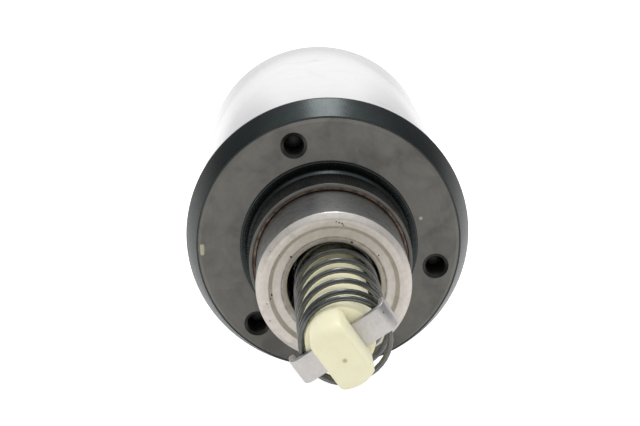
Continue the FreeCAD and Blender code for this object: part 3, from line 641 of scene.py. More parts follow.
@dataclass(frozen=True)
class Finish:
    """One surface finish: its colours, gloss and the marks that it carries."""

    name: str
    slot: str
    colour: Colour
    second_colour: Colour
    roughness: float
    metallic: float = 0.0
    coat: float = 0.0
    coat_roughness: float = 0.1
    subsurface: float = 0.0
    grain_mm: float = 0.25
    grain_depth: float = 0.02
    line_depth: float = 0.0
    lines_per_mm: float = 5.0
    # The next two set the painted shade in the low parts of the turned lines: how strong it is, and
    # its colour, which soiling and dark rings also use.
    line_shade_strength: float = 0.0
    soil_and_shade_colour: Colour = (0.03, 0.028, 0.025)
    soil_share: float = 0.25
    soil_size: float = 5.0
    soil_strength: float = 0.25
    fleck_share: float = 0.0
    fleck_spacing: float = 2.0
    fleck_size: float = 0.2
    dark_bands: tuple[Pair, ...] = ()
    marks: tuple[Mark, ...] = ()
    mark_colour: Colour = (0.02, 0.018, 0.015)
    tint_size: float = 0.45
    tint_share: float = 0.5
    tint_softness: float = 0.3
    line_shadow: Pair = (0.55, 0.25)
    grain_gloss: float = 0.12
    dirt_gloss: float = 0.2
    band_strength: float = 0.8

    def material(self, effects: Effects) -> bpy.types.Material:
        """Builds the finish's material.

        Args:
            effects: the shared groups.

        Returns:
            The material.
        """
        made = bpy.data.materials.new(self.name)
        graph = Graph.of(made)
        place = graph.add("TexCoord").outputs["Object"]
        soil_and_shade_colour = (*self.soil_and_shade_colour, 1.0)
        mark_colour = (*self.mark_colour, 1.0)
        soil = effects.soiling.place(
            graph, vector=place, size_mm=self.soil_size, share=self.soil_share)
        tint = effects.soiling.place(
            graph, vector=place, size_mm=self.soil_size * self.tint_size, share=self.tint_share,
            softness=self.tint_softness)
        grain = effects.grain.place(graph, vector=place, size_mm=self.grain_mm)
        colour = graph.mix(tint, (*self.colour, 1.0), (*self.second_colour, 1.0))
        height = graph.math("MULTIPLY", grain, self.grain_depth)
        gloss = graph.math("MULTIPLY_ADD", grain, self.grain_gloss,
                           self.roughness - self.grain_gloss / 2)
        if self.line_depth > 0.0:
            lines = effects.turned_lines.place(graph, vector=place, per_mm=self.lines_per_mm)
            height = graph.math("MULTIPLY_ADD", lines, self.line_depth, height)
            # Painted shade: the low parts of the turned lines are darkened towards the colour that
            # soiling also uses.
            shadow = graph.ramp(lines, *self.line_shadow)
            colour = graph.mix(graph.math("MULTIPLY", shadow, self.line_shade_strength), colour, soil_and_shade_colour)
        dirt = graph.math("MULTIPLY", soil, self.soil_strength)
        # Dark rings at set radii darken the colour and roughen it, as the soiling does.
        for radius, width in self.dark_bands:
            band = effects.band.place(graph, vector=place, radius=radius, width=width)
            dirt = graph.math("MAXIMUM", dirt, graph.math("MULTIPLY", band, self.band_strength))
        colour = graph.mix(dirt, colour, soil_and_shade_colour)
        gloss = graph.math("MULTIPLY_ADD", dirt, self.dirt_gloss, gloss)
        if self.fleck_share > 0.0:
            fleck = effects.flecks.place(
                graph, vector=place, spacing_mm=self.fleck_spacing, size=self.fleck_size,
                share=self.fleck_share)
            colour = graph.mix(fleck, colour, mark_colour)
        for mark in self.marks:
            spot = effects.spot.place(
                graph, vector=place, centre=mark.centre, radius=mark.radius,
                softness=mark.softness)
            colour = graph.mix(spot, colour, mark_colour)
        bump = graph.add("Bump", {"Height": height, "Strength": 1.0, "Distance": MM})
        shader = graph.add(
            "BsdfPrincipled",
            {"Base Color": colour, "Roughness": gloss, "Metallic": self.metallic,
             "Normal": bump.outputs[0], "Coat Weight": self.coat,
             "Coat Roughness": self.coat_roughness, "Subsurface Weight": self.subsurface,
             "Subsurface Scale": MM, "Subsurface Radius": (1.0, 0.8, 0.4)})
        graph.add("OutputMaterial", {"Surface": shader.outputs[0]})
        return made


FLANGE_FACE = Finish(
    "flange_face_grey", "flange_steel", (0.17, 0.16, 0.142), (0.14, 0.133, 0.12), roughness=0.42,
    metallic=0.25, grain_mm=0.12, grain_depth=0.012, line_depth=0.01, lines_per_mm=3.0,
    line_shade_strength=0.12, soil_share=0.42, soil_strength=0.35, soil_size=7.0,
    fleck_share=0.05, fleck_size=0.1, mark_colour=(0.44, 0.41, 0.3),
    marks=(Mark((18.9, 0.0, 6.1), 0.45),
           *(Mark((-26.3, 0.0, up), 0.6) for up in (-1.5, -1.0, -0.5, 0.0))),
)
BLACK_RIM = Finish(
    "rim_gloss_black", "flange_steel", (0.043, 0.05, 0.051), (0.054, 0.06, 0.058), roughness=0.28,
    metallic=1.0, grain_mm=0.3, grain_depth=0.003, line_depth=0.004,
    lines_per_mm=2.0, soil_share=0.2, soil_strength=0.15, soil_and_shade_colour=(0.05, 0.046, 0.042),
)
THREAD_STEEL = Finish(
    "tapped_thread", "flange_steel", (0.05, 0.048, 0.045), (0.03, 0.028, 0.026), roughness=0.35,
    metallic=0.7, soil_strength=0.3,
)
CAN_PLATE = Finish(
    "can_bright_plate", "can_plate", (0.91, 0.91, 0.915), (0.88, 0.88, 0.885), roughness=0.2,
    metallic=1.0, grain_mm=0.5, grain_depth=0.003, line_depth=0.003, lines_per_mm=1.2,
    soil_and_shade_colour=(0.55, 0.53, 0.5), soil_share=0.3, soil_strength=0.25, soil_size=9.0,
)
PLUNGER_SIDE = Finish(
    "plunger_ground_steel", "plunger_steel", (0.47, 0.475, 0.47), (0.36, 0.365, 0.36),
    roughness=0.3, metallic=1.0, grain_mm=0.15, grain_depth=0.004, line_depth=0.006,
    lines_per_mm=8.0, line_shade_strength=0.1, soil_share=0.45, soil_strength=0.6, soil_size=2.4,
    soil_and_shade_colour=(0.09, 0.088, 0.085), fleck_share=0.12, fleck_spacing=2.2, fleck_size=0.1,
)
PLUNGER_FACE = Finish(
    "plunger_turned_steel", "plunger_steel", (0.71, 0.655, 0.6), (0.59, 0.545, 0.505),
    roughness=0.38, metallic=0.6, grain_mm=0.12, grain_depth=0.006, line_depth=0.008,
    lines_per_mm=7.0, line_shade_strength=0.12, soil_share=0.33, soil_strength=0.3, soil_size=2.6,
    soil_and_shade_colour=(0.16, 0.14, 0.12), fleck_share=0.16, fleck_spacing=1.7, fleck_size=0.16,
    # Dark rings: smudges just outside the bore's mouth, and a thin darker line in the inner corner
    # of the face's step.
    dark_bands=((10.0, 0.5), (11.7, 0.16)),
    marks=(Mark((-8.19, -24.1, 6.08), 0.3), Mark((-11.58, -24.9, 0.77), 0.16),
           Mark((-12.72, -24.9, -3.07), 0.17), Mark((-12.15, -24.9, -6.54), 0.17),
           Mark((11.56, -24.9, -0.9), 0.17), Mark((1.3, -24.9, 12.9), 0.22),
           Mark((0.75, -24.9, 13.1), 0.2), Mark((0.2, -24.9, 13.3), 0.18)),
)
CORE_STEEL = Finish(
    "core_zinc_steel", "core_steel", (0.5, 0.49, 0.46), (0.44, 0.43, 0.4), roughness=0.36,
    metallic=1.0, line_depth=0.006, line_shade_strength=0.08,
)
SPRING_WIRE = Finish(
    "spring_oiled_wire", "spring_wire", (0.17, 0.175, 0.172), (0.11, 0.113, 0.112), roughness=0.19,
    metallic=1.0, grain_mm=0.1, grain_depth=0.006, soil_strength=0.2,
    soil_and_shade_colour=(0.02, 0.018, 0.016), fleck_share=0.05, fleck_size=0.1,
    mark_colour=(0.16, 0.12, 0.09),
)
KEY_STEEL = Finish(
    "key_pressed_steel", "key_steel", (0.61, 0.585, 0.565), (0.53, 0.51, 0.5), roughness=0.4,
    metallic=1.0, grain_mm=0.18, grain_depth=0.012, soil_share=0.3, soil_strength=0.25,
    soil_size=1.6, soil_and_shade_colour=(0.2, 0.17, 0.15), fleck_share=0.2, fleck_spacing=1.2,
    fleck_size=0.12,
)
IVORY_NYLON = Finish(
    "rod_ivory_nylon", "ivory_nylon", (0.87, 0.84, 0.61), (0.84, 0.8, 0.55), roughness=0.34,
    subsurface=0.12, grain_mm=0.2, grain_depth=0.01, soil_share=0.25, soil_strength=0.12,
    soil_size=3.0, soil_and_shade_colour=(0.55, 0.48, 0.3), fleck_share=0.12, fleck_spacing=2.4,
    fleck_size=0.1, mark_colour=(0.5, 0.42, 0.24), marks=(Mark((0.3, -58.75, 0.1), 0.6, 0.8),),
)
SLEEVE_BRASS = Finish(
    "sleeve_dull_brass", "sleeve_brass", (0.27, 0.195, 0.15), (0.2, 0.145, 0.115), roughness=0.42,
    metallic=1.0, line_depth=0.006, soil_share=0.5, soil_strength=0.6, soil_size=1.5,
)
BOBBIN_PLASTIC = Finish(
    "bobbin_dark_nylon", "bobbin_plastic", (0.05, 0.052, 0.05), (0.04, 0.042, 0.04), roughness=0.5,
)
# Painted shade darkens the low parts of the winding's lines, between the wire's turns.
ENAMELLED_WIRE = Finish(
    "winding_enamel", "enamelled_wire", (0.4, 0.13, 0.045), (0.33, 0.1, 0.035), roughness=0.25,
    metallic=0.6, coat=0.7, line_depth=0.08, lines_per_mm=1.3, line_shade_strength=0.3,
)
CONTACT_COPPER = Finish(
    "contact_bright_copper", "contact_copper", (0.72, 0.36, 0.22), (0.6, 0.28, 0.17),
    roughness=0.32, metallic=1.0, line_depth=0.008, line_shade_strength=0.1,
)
BLACK_MOULDING = Finish(
    "cap_black_phenolic", "black_moulding", (0.022, 0.022, 0.023), (0.028, 0.028, 0.029),
    roughness=0.38, grain_mm=0.35, grain_depth=0.014, soil_share=0.2, soil_strength=0.12,
    soil_and_shade_colour=(0.09, 0.085, 0.08),
)
SEAL_RUBBER = Finish(
    "seal_black_rubber", "seal_rubber", (0.018, 0.018, 0.018), (0.026, 0.026, 0.026), roughness=0.6,
    grain_mm=0.15, grain_depth=0.012,
)
INSULATOR_RED = Finish(
    "insulator_red_fibre", "insulator_red", (0.35, 0.05, 0.03), (0.28, 0.04, 0.025), roughness=0.55,
    grain_mm=0.3, grain_depth=0.02,
)
ZINC_FASTENER = Finish(
    "fastener_bright_zinc", "plated_fastener", (0.7, 0.7, 0.69), (0.62, 0.62, 0.62), roughness=0.28,
    metallic=1.0, grain_mm=0.3, grain_depth=0.008, soil_share=0.3, soil_strength=0.2,
    soil_and_shade_colour=(0.3, 0.28, 0.25), soil_size=2.0,
)
COPPER_STUD = Finish(
    "stud_plated_copper", "contact_copper", (0.66, 0.42, 0.28), (0.58, 0.36, 0.24), roughness=0.3,
    metallic=1.0, grain_mm=0.3, grain_depth=0.008, soil_share=0.3, soil_strength=0.3,
    soil_and_shade_colour=(0.2, 0.13, 0.09), soil_size=2.0,
)
BLADE_BRASS = Finish(
    "blade_tinned_brass", "blade_brass", (0.72, 0.6, 0.36), (0.64, 0.54, 0.33), roughness=0.28,
    metallic=1.0, grain_mm=0.25, grain_depth=0.006,
)
NODE_FINISHES = {
    "terminal_cap": BLACK_MOULDING,
    "stationary_core": CORE_STEEL,
    "coil_bobbin": BOBBIN_PLASTIC,
    "pull_in_winding": ENAMELLED_WIRE,
    "hold_in_winding": ENAMELLED_WIRE,
    "rod_guide_bush": BOBBIN_PLASTIC,
    "contact_rod": BLADE_BRASS,
    "contact_disc": CONTACT_COPPER,
    "disc_front_insulator": INSULATOR_RED,
    "disc_rear_insulator": INSULATOR_RED,
    "rod_clip": SPRING_WIRE,
    "cap_gasket": SEAL_RUBBER,
    "stud_seals": SEAL_RUBBER,
    "winding_leads": ENAMELLED_WIRE,
}


class Workshop:
    """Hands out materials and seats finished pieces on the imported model."""

    def __init__(self) -> None:
        """Builds the shared effects."""
        self.effects = Effects()
        self.materials: dict[str, bpy.types.Material] = {}

    def material(self, finish: Finish) -> bpy.types.Material:
        """The material of a finish, built at its first use."""
        if finish.name not in self.materials:
            self.materials[finish.name] = finish.material(self.effects)
        return self.materials[finish.name]

    def dress(self, piece: Piece, finishes: list[Finish]) -> None:
        """Gives a piece its materials and keeps its faces' numbers.

        Args:
            piece: the piece.
            finishes: its finishes, in the order of its faces' numbers.
        """
        numbers = [face.material_index for face in piece.data.polygons]
        piece.data.materials.clear()
        for finish in finishes:
            piece.data.materials.append(self.material(finish))
        piece.data.polygons.foreach_set("material_index", numbers)

    def seat(self, piece: Piece, finishes: list[Finish], body: Body, *nodes: str) -> None:
        """Dresses a new piece, makes it ride on its body and lets it stand for its nodes.

        Args:
            piece: the new piece.
            finishes: its finishes, in the order of its faces' numbers.
            body: the body that it moves with.
            nodes: the model's nodes that it stands for.
        """
        self.dress(piece, finishes)
        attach(piece, body.value)
        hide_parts(*nodes)
        log.info("%s: %d faces, for %s", piece.name, len(piece.data.polygons), ", ".join(nodes))

    def dress_node(self, node: str, finish: Finish) -> None:
        """Gives one of the model's own nodes a better finish.

        Args:
            node: the node's name.
            finish: its finish.
        """
        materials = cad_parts[node].data.materials
        materials.clear()
        materials.append(self.material(finish))
        log.info("%s: finished as %s", node, finish.name)


# Pieces


@dataclass
class FrontFlange:
    """Steel flange with its cone-edged rim, grey face, tapped holes and black collar.

    The last sizes, from skin to facing, say how near to a surface and how straight on a face
    lies that gets that surface's finish.
    """

    collar_radius: float = 17.0
    collar_front: float = -10.0
    collar_bore: float = 15.67
    collar_lead: float = 0.75
    waist: float = 0.55
    waist_rear: float = -2.3
    waist_slope: float = 1.3
    foot_groove: float = 0.45
    groove_front: float = 1.3
    groove_floor: float = 0.9
    ring_radius: float = 18.45
    ring_height: float = 0.7
    ring_dish: float = 0.45
    face_radius: float = 26.5
    ledge_radius: float = 27.2
    ledge_depth: float = 0.7
    cone_radius: float = 27.5
    rim_radius: float = 30.0
    cone_depth: float = 6.5
    back: float = 7.5
    back_edge: float = 0.4
    register_radius: float = 26.2
    register_back: float = 10.5
    hole_circle: float = 22.75
    hole_angles: tuple[float, ...] = (109.0, -11.0, -131.0)
    hole_radius: float = 2.1
    thread_depth: float = 0.34
    thread_pitch: float = 0.8
    thread_runout: float = 0.5
    thread_inset: float = 0.25
    countersink_radius: float = 2.75
    countersink_depth: float = 0.4
    hole_depth: float = 7.0
    point_depth: float = 1.2
    overcut: float = 1.0
    steps: int = 180
    hole_steps: int = 40
    sharp_angle: float = 28.0
    skin: float = 0.05
    film: float = 0.02
    facing: float = 0.7

    def outline(self) -> list[Corner]:
        """The flange's section, from the collar's mouth round the rim to the bore.

        Returns:
            Its corners in order.
        """
        collar = self.collar_radius
        waist = collar - self.waist
        front = self.collar_front
        ring_front = -self.ring_height
        return [
            Corner(self.collar_bore, front, 0.12),
            Corner(collar - self.collar_lead, front, 0.12),
            Corner(waist, front + self.collar_lead - self.waist, 0.15),
            Corner(waist, self.waist_rear - self.waist * self.waist_slope, 0.2),
            Corner(collar, self.waist_rear, 0.2),
            Corner(collar, ring_front - self.groove_front, 0.1),
            Corner(collar - self.foot_groove, ring_front - self.groove_floor),
            Corner(collar - self.foot_groove, ring_front + self.ring_dish, 0.1),
            Corner(self.ring_radius, ring_front, 0.35),
            Corner(self.ring_radius, 0.0, 0.08),
            Corner(self.face_radius, 0.0, 0.1),
            Corner(self.ledge_radius, self.ledge_depth, 0.06),
            Corner(self.cone_radius, self.ledge_depth, 0.1),
            Corner(self.rim_radius, self.cone_depth, 0.2),
            Corner(self.rim_radius, self.back - self.back_edge, 0.15),
            Corner(self.rim_radius - self.back_edge, self.back, 0.1),
            Corner(self.register_radius, self.back),
            Corner(self.register_radius, self.register_back, 0.3),
            Corner(self.collar_bore, self.register_back, 0.2),
        ]

    def hole_centre(self, angle: float) -> Pair:
        """How far the hole at an angle stands across and above the axis."""
        turn = math.radians(angle)
        return self.hole_circle * math.cos(turn), self.hole_circle * math.sin(turn)

    def hole_cutter(self, angle: float) -> Piece:
        """The space of one tapped hole: countersink, thread rings and drill point.

        Args:
            angle: where the hole stands round the axis, in degrees from +X.

        Returns:
            The object that cuts the hole.
        """
        corners = [
            Corner(0.0, -self.overcut),
            Corner(self.countersink_radius, -self.overcut),
            Corner(self.countersink_radius, 0.0),
        ]
        root = self.hole_radius + self.thread_depth
        place = self.countersink_depth
        corners.append(Corner(self.hole_radius, place))
        while place + self.thread_pitch < self.hole_depth - self.thread_runout:
            corners.append(Corner(root, place + self.thread_pitch / 2))
            corners.append(Corner(self.hole_radius, place + self.thread_pitch))
            place += self.thread_pitch
        corners.append(Corner(self.hole_radius, self.hole_depth))
        corners.append(Corner(0.0, self.hole_depth + self.point_depth))
        across, up = self.hole_centre(angle)
        form = Form().turn(corners, self.hole_steps, closed=False)
        return form.shift((across, 0.0, up)).object(f"hole_{angle:.0f}")

    def finish_number(self, centre: Vector, normal: Vector) -> int:
        """Which finish a face gets.

        Args:
            centre: the face's middle, in metres.
            normal: the way that it faces.

        Returns:
            0 for the grey face, 1 for gloss black, 2 for thread.
        """
        place = centre / MM
        reach = math.hypot(place.x, place.z)
        for angle in self.hole_angles:
            across, up = self.hole_centre(angle)
            gap = math.hypot(place.x - across, place.z - up)
            if gap < self.countersink_radius - self.thread_inset and place.y > self.skin:
                return 2
        if place.y < self.collar_front + 2 * self.skin and normal.y < -self.facing:
            return 0
        if place.y < -self.film and reach < self.ring_radius + 2 * self.skin:
            return 1
        if reach > self.ledge_radius - self.skin and place.y > self.ledge_depth - self.skin:
            return 1
        return 0

    def build(self, shop: Workshop) -> None:
        """Makes the flange, drills its holes and tells its finishes apart.

        Args:
            shop: dresses and seats the finished piece.
        """
        flange = Form().turn(self.outline(), self.steps)
        piece = flange.object("front_flange_turned", self.sharp_angle)
        holes = [self.hole_cutter(angle) for angle in self.hole_angles]
        combine(piece, holes, "DIFFERENCE", self.sharp_angle)
        for face in piece.data.polygons:
            face.material_index = self.finish_number(face.center, face.normal)
        shop.seat(piece, [FLANGE_FACE, BLACK_RIM, THREAD_STEEL], Body.HOUSING, "front_flange")


@dataclass
class CasingParts:
    """The drawn can and the brass sleeve that the plunger slides in."""

    can_radius: float = 28.3
    can_wall: float = 2.0
    can_front: float = 7.5
    can_rear: float = 77.8
    lip_radius: float = 24.4
    sleeve_bore: float = 15.03
    sleeve_outer: float = 15.65
    sleeve_front: float = -9.65
    sleeve_rear: float = 58.6
    can_steps: int = 180
    sleeve_steps: int = 144

    def can(self) -> Form:
        """The can's shell, with its rear rim rolled in."""
        bore = self.can_radius - self.can_wall
        return Form().turn([
            Corner(bore, self.can_front, 0.1),
            Corner(self.can_radius, self.can_front, 0.25),
            Corner(self.can_radius, self.can_rear, 1.5),
            Corner(self.lip_radius, self.can_rear, 0.7),
            Corner(self.lip_radius, self.can_rear - self.can_wall, 0.2),
            Corner(bore, self.can_rear - self.can_wall, 0.3),
        ], self.can_steps)

    def sleeve(self) -> Form:
        """The thin sleeve, with its mouth slightly rounded."""
        return Form().turn([
            Corner(self.sleeve_bore, self.sleeve_front, 0.12),
            Corner(self.sleeve_outer, self.sleeve_front, 0.12),
            Corner(self.sleeve_outer, self.sleeve_rear),
            Corner(self.sleeve_bore, self.sleeve_rear),
        ], self.sleeve_steps)

    def build(self, shop: Workshop) -> None:
        """Makes both shells.

        Args:
            shop: dresses and seats the finished piece.
        """
        shop.seat(self.can().object("can_drawn"), [CAN_PLATE], Body.HOUSING, "can")
        shop.seat(self.sleeve().object("guide_sleeve_drawn"), [SLEEVE_BRASS], Body.HOUSING,
                  "guide_sleeve")


@dataclass
class Plunger:
    """Ground steel plunger, with its stepped face, spring bore and rear pocket."""

    radius: float = 14.93
    front: float = -24.9
    rear: float = 15.0
    chamfer: float = 1.1
    recess_radius: float = 12.05
    recess_depth: float = 0.8
    step_slope: float = 0.3
    step_lip: float = 0.15
    bore: float = 8.95
    mouth_chamfer: float = 0.85
    mouth_depth: float = 0.4
    seat_radius: float = 8.5
    seat_front: float = -1.0
    partition_front: float = 0.5
    partition_rear: float = 5.5
    neck_hole: float = 3.6
    pocket_radius: float = 10.4
    rear_edge: float = 0.6
    face_zone: float = 4.0
    facing: float = 0.35
    steps: int = 168

    def outline(self) -> list[Corner]:
        """The plunger's section, from the neck hole forwards and back round the outside.

        Returns:
            Its corners in order.
        """
        step = self.front + self.recess_depth
        return [
            Corner(self.neck_hole, self.partition_rear, 0.2),
            Corner(self.neck_hole, self.partition_front, 0.2),
            Corner(self.seat_radius, self.partition_front),
            Corner(self.seat_radius, self.seat_front, 0.2),
            Corner(self.bore, self.seat_front),
            Corner(self.bore, step + self.mouth_depth, 0.2),
            Corner(self.bore + self.mouth_chamfer, step, 0.1),
            Corner(self.recess_radius - self.step_slope, step, 0.12),
            Corner(self.recess_radius + self.step_slope, self.front + self.step_lip, 0.08),
            Corner(self.recess_radius + self.step_slope + self.step_lip, self.front, 0.05),
            Corner(self.radius - self.chamfer, self.front, 0.18),
            Corner(self.radius, self.front + self.chamfer, 0.25),
            Corner(self.radius, self.rear - self.rear_edge, 0.2),
            Corner(self.radius - self.rear_edge, self.rear, 0.1),
            Corner(self.pocket_radius, self.rear, 0.3),
            Corner(self.pocket_radius, self.partition_rear, 0.4),
        ]

    def build(self, shop: Workshop) -> None:
        """Makes the plunger, with a turned face and a ground side.

        Args:
            shop: dresses and seats the finished piece.
        """
        form = Form().turn(self.outline(), self.steps)
        piece = form.object("plunger_turned", sharp_angle=26.0)
        for face in piece.data.polygons:
            in_front = face.center.y / MM < self.front + self.chamfer + self.face_zone
            reach = math.hypot(face.center.x, face.center.z) / MM
            if in_front and (abs(face.normal.y) > self.facing or reach < self.recess_radius):
                face.material_index = 1
        shop.seat(piece, [PLUNGER_SIDE, PLUNGER_FACE], Body.PLUNGER, "plunger")


@dataclass
class CoilSpring:
    """A right-handed compression spring of round wire with closed ends."""

    name: str
    node: str
    body: Body
    joint: str
    mean_radius: float
    wire: float
    turns: int
    front: float
    rear: float
    keep: float
    anchor_at_rear: bool = True
    lean_side: float = 0.0
    lean_up: float = 0.0
    closed_pitch: float = 0.98
    steps_per_turn: int = 40
    sides: int = 14

    def coil(self) -> Form:
        """The wire, spun turn by turn with the pitch of each stretch.

        Returns:
            The spring at its length at rest.
        """
        form = Form()
        radius = self.wire / 2
        start = Matrix.Translation((0.0, self.front + radius, -self.mean_radius))
        section = bmesh.ops.create_circle(
            form.mesh, cap_ends=True, cap_tris=False, segments=self.sides, radius=radius,
            matrix=start @ Matrix.Rotation(math.pi / 2, 4, "Y"),
        )
        last = section["verts"] + form.mesh.edges[:] + form.mesh.faces[:]
        open_turns = self.turns - 2
        closed_rise = self.wire * self.closed_pitch
        open_rise = (self.rear - self.front - self.wire - 2 * closed_rise) / open_turns
        for count, rise in ((1, closed_rise), (open_turns, open_rise), (1, closed_rise)):
            spun = bmesh.ops.spin(
                form.mesh, geom=last, axis=AXIS_LINE, cent=CENTRE,
                dvec=(0.0, rise / self.steps_per_turn, 0.0), angle=math.tau * count,
                steps=count * self.steps_per_turn,
            )
            last = spun["geom_last"]
        bmesh.ops.transform(form.mesh, matrix=self.lean(), verts=form.mesh.verts)
        return form.clean(1e-5).face_outwards()

    def lean(self) -> Matrix:
        """The shear that sets the front end off the axis and leaves the rear end on it.

        Returns:
            The transform.
        """
        length = self.rear - self.front
        shear = Matrix.Identity(4)
        shear[0][1] = -self.lean_side / length
        shear[2][1] = -self.lean_up / length
        shear[0][3] = self.lean_side * self.rear / length
        shear[2][3] = self.lean_up * self.rear / length
        return shear

    def build(self, shop: Workshop) -> None:
        """Makes the spring and gives it a mesh of its own.

        Args:
            shop: dresses and seats the finished piece.
        """
        piece = self.coil().object(self.name, sharp_angle=60.0)
        shop.seat(piece, [SPRING_WIRE], self.body, self.node)
        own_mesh(piece)


@dataclass
class PullRod:
    """Moulded nylon rod: a flat tongue in front, a slot for the key and a split barb behind."""

    radius: float = 6.15
    tip: float = -58.75
    shoulder: float = -50.0
    tail: float = -3.5
    tip_rounding: float = 2.8
    tongue_thickness: float = 6.6
    tongue_width: float = 12.2
    tongue_corner: float = 2.0
    tongue_end: float = 1.1
    round_overlap: float = 3.0
    slab_overlap: float = 2.0
    angle: float = 35.0
    slot_front: float = -51.2
    slot_gap: float = 0.02
    slot_width: float = 6.5
    slot_length: float = 16.0
    neck_radius: float = 3.3
    barb_front: float = 5.6
    barb_rear: float = 9.6
    barb_radius: float = 4.1
    barb_tip: float = 2.9
    split: float = 1.4
    split_length: float = 14.0
    split_height: float = 12.0
    steps: int = 112

    def shank(self) -> Form:
        """The round part behind the shoulder, with its neck and barb."""
        return Form().turn([
            Corner(0.0, self.shoulder),
            Corner(self.radius, self.shoulder, 0.35),
            Corner(self.radius, self.tail, 0.4),
            Corner(self.neck_radius, self.tail, 0.2),
            Corner(self.neck_radius, self.barb_front),
            Corner(self.barb_radius, self.barb_front, 0.2),
            Corner(self.barb_tip, self.barb_rear, 0.5),
            Corner(0.0, self.barb_rear),
        ], self.steps, closed=False)

    def round_end(self) -> Form:
        """The rounded bar that the tongue is cut from."""
        end = self.shoulder + self.round_overlap
        return Form().turn([
            Corner(0.0, self.tip),
            Corner(self.radius, self.tip, self.tip_rounding),
            Corner(self.radius, end),
            Corner(0.0, end),
        ], self.steps, closed=False)

    def slab(self) -> Form:
        """The flat block that bounds the tongue, with soft edges.

        Returns:
            The block, turned to the tongue's angle.
        """
        length = self.shoulder + self.slab_overlap - self.tip
        form = Form().box((self.tongue_thickness, length, self.tongue_width),
                          (0.0, self.tip + length / 2, 0.0))
        form.round_edges(
            lambda middle, along: abs(along.y) > ALONG, self.tongue_corner, segments=10)
        form.round_edges(lambda middle, along: abs(middle.y - self.tip) < NEAR, self.tongue_end)
        return form.face_outwards().rotate(-self.angle, "Y")

    def build(self, shop: Workshop) -> None:
        """Joins the tongue and the shank and cuts the slot and the split.

        Args:
            shop: dresses and seats the finished piece.
        """
        tongue = combine(self.round_end().object("rod_tongue"), [self.slab().object("slab")],
                         "INTERSECT")
        piece = combine(self.shank().object("pull_rod_moulded"), [tongue], "UNION")
        slot_rear = self.shoulder + self.slot_gap
        slot = Form().box((self.slot_length, slot_rear - self.slot_front, self.slot_width),
                          (0.0, (slot_rear + self.slot_front) / 2, 0.0))
        split_middle = self.tail + self.split + self.split_length / 2
        split = Form().box((self.split, self.split_length, self.split_height),
                           (0.0, split_middle, 0.0))
        combine(piece, [slot.rotate(-self.angle, "Y").object("slot"), split.object("split")],
                "DIFFERENCE")
        shop.seat(piece, [IVORY_NYLON], Body.PULL_ROD, "pull_rod")


@dataclass
class SpringKey:
    """Pressed steel strip through the rod's slot, with both ends bent back over the spring."""

    left: float = -9.56
    right: float = 9.94
    front: float = -51.1
    thickness: float = 1.0
    width: float = 4.9
    across: float = -0.7
    hook: float = 2.6
    bend: float = 0.9
    angle: float = 35.0
    edge: float = 0.16
    bend_steps: int = 9

    def build(self, shop: Workshop) -> None:
        """Cuts the strip's side view, bends its ends and breaks its edges.

        Args:
            shop: dresses and seats the finished piece.
        """
        back = self.front + self.thickness
        end = back + self.hook
        inner_left = self.left + self.thickness
        inner_right = self.right - self.thickness
        form = Form().prism([
            (self.left, self.front), (self.right, self.front), (self.right, end),
            (inner_right, end), (inner_right, back), (inner_left, back), (inner_left, end),
            (self.left, end),
        ], self.width)
        form.round_edges(
            lambda middle, along: abs(along.z) > ALONG and abs(middle.y - self.front) < NEAR,
            self.bend + self.thickness, self.bend_steps)
        form.round_edges(
            lambda middle, along: abs(along.z) > ALONG and abs(middle.y - back) < NEAR,
            self.bend, self.bend_steps)
        form.bevel_sharp(self.edge, least_angle=45.0).face_outwards()
        form.shift((0.0, 0.0, self.across)).rotate(-self.angle, "Y")
        piece = form.object("spring_key_pressed", sharp_angle=40.0)
        shop.seat(piece, [KEY_STEEL], Body.PULL_ROD, "spring_key")


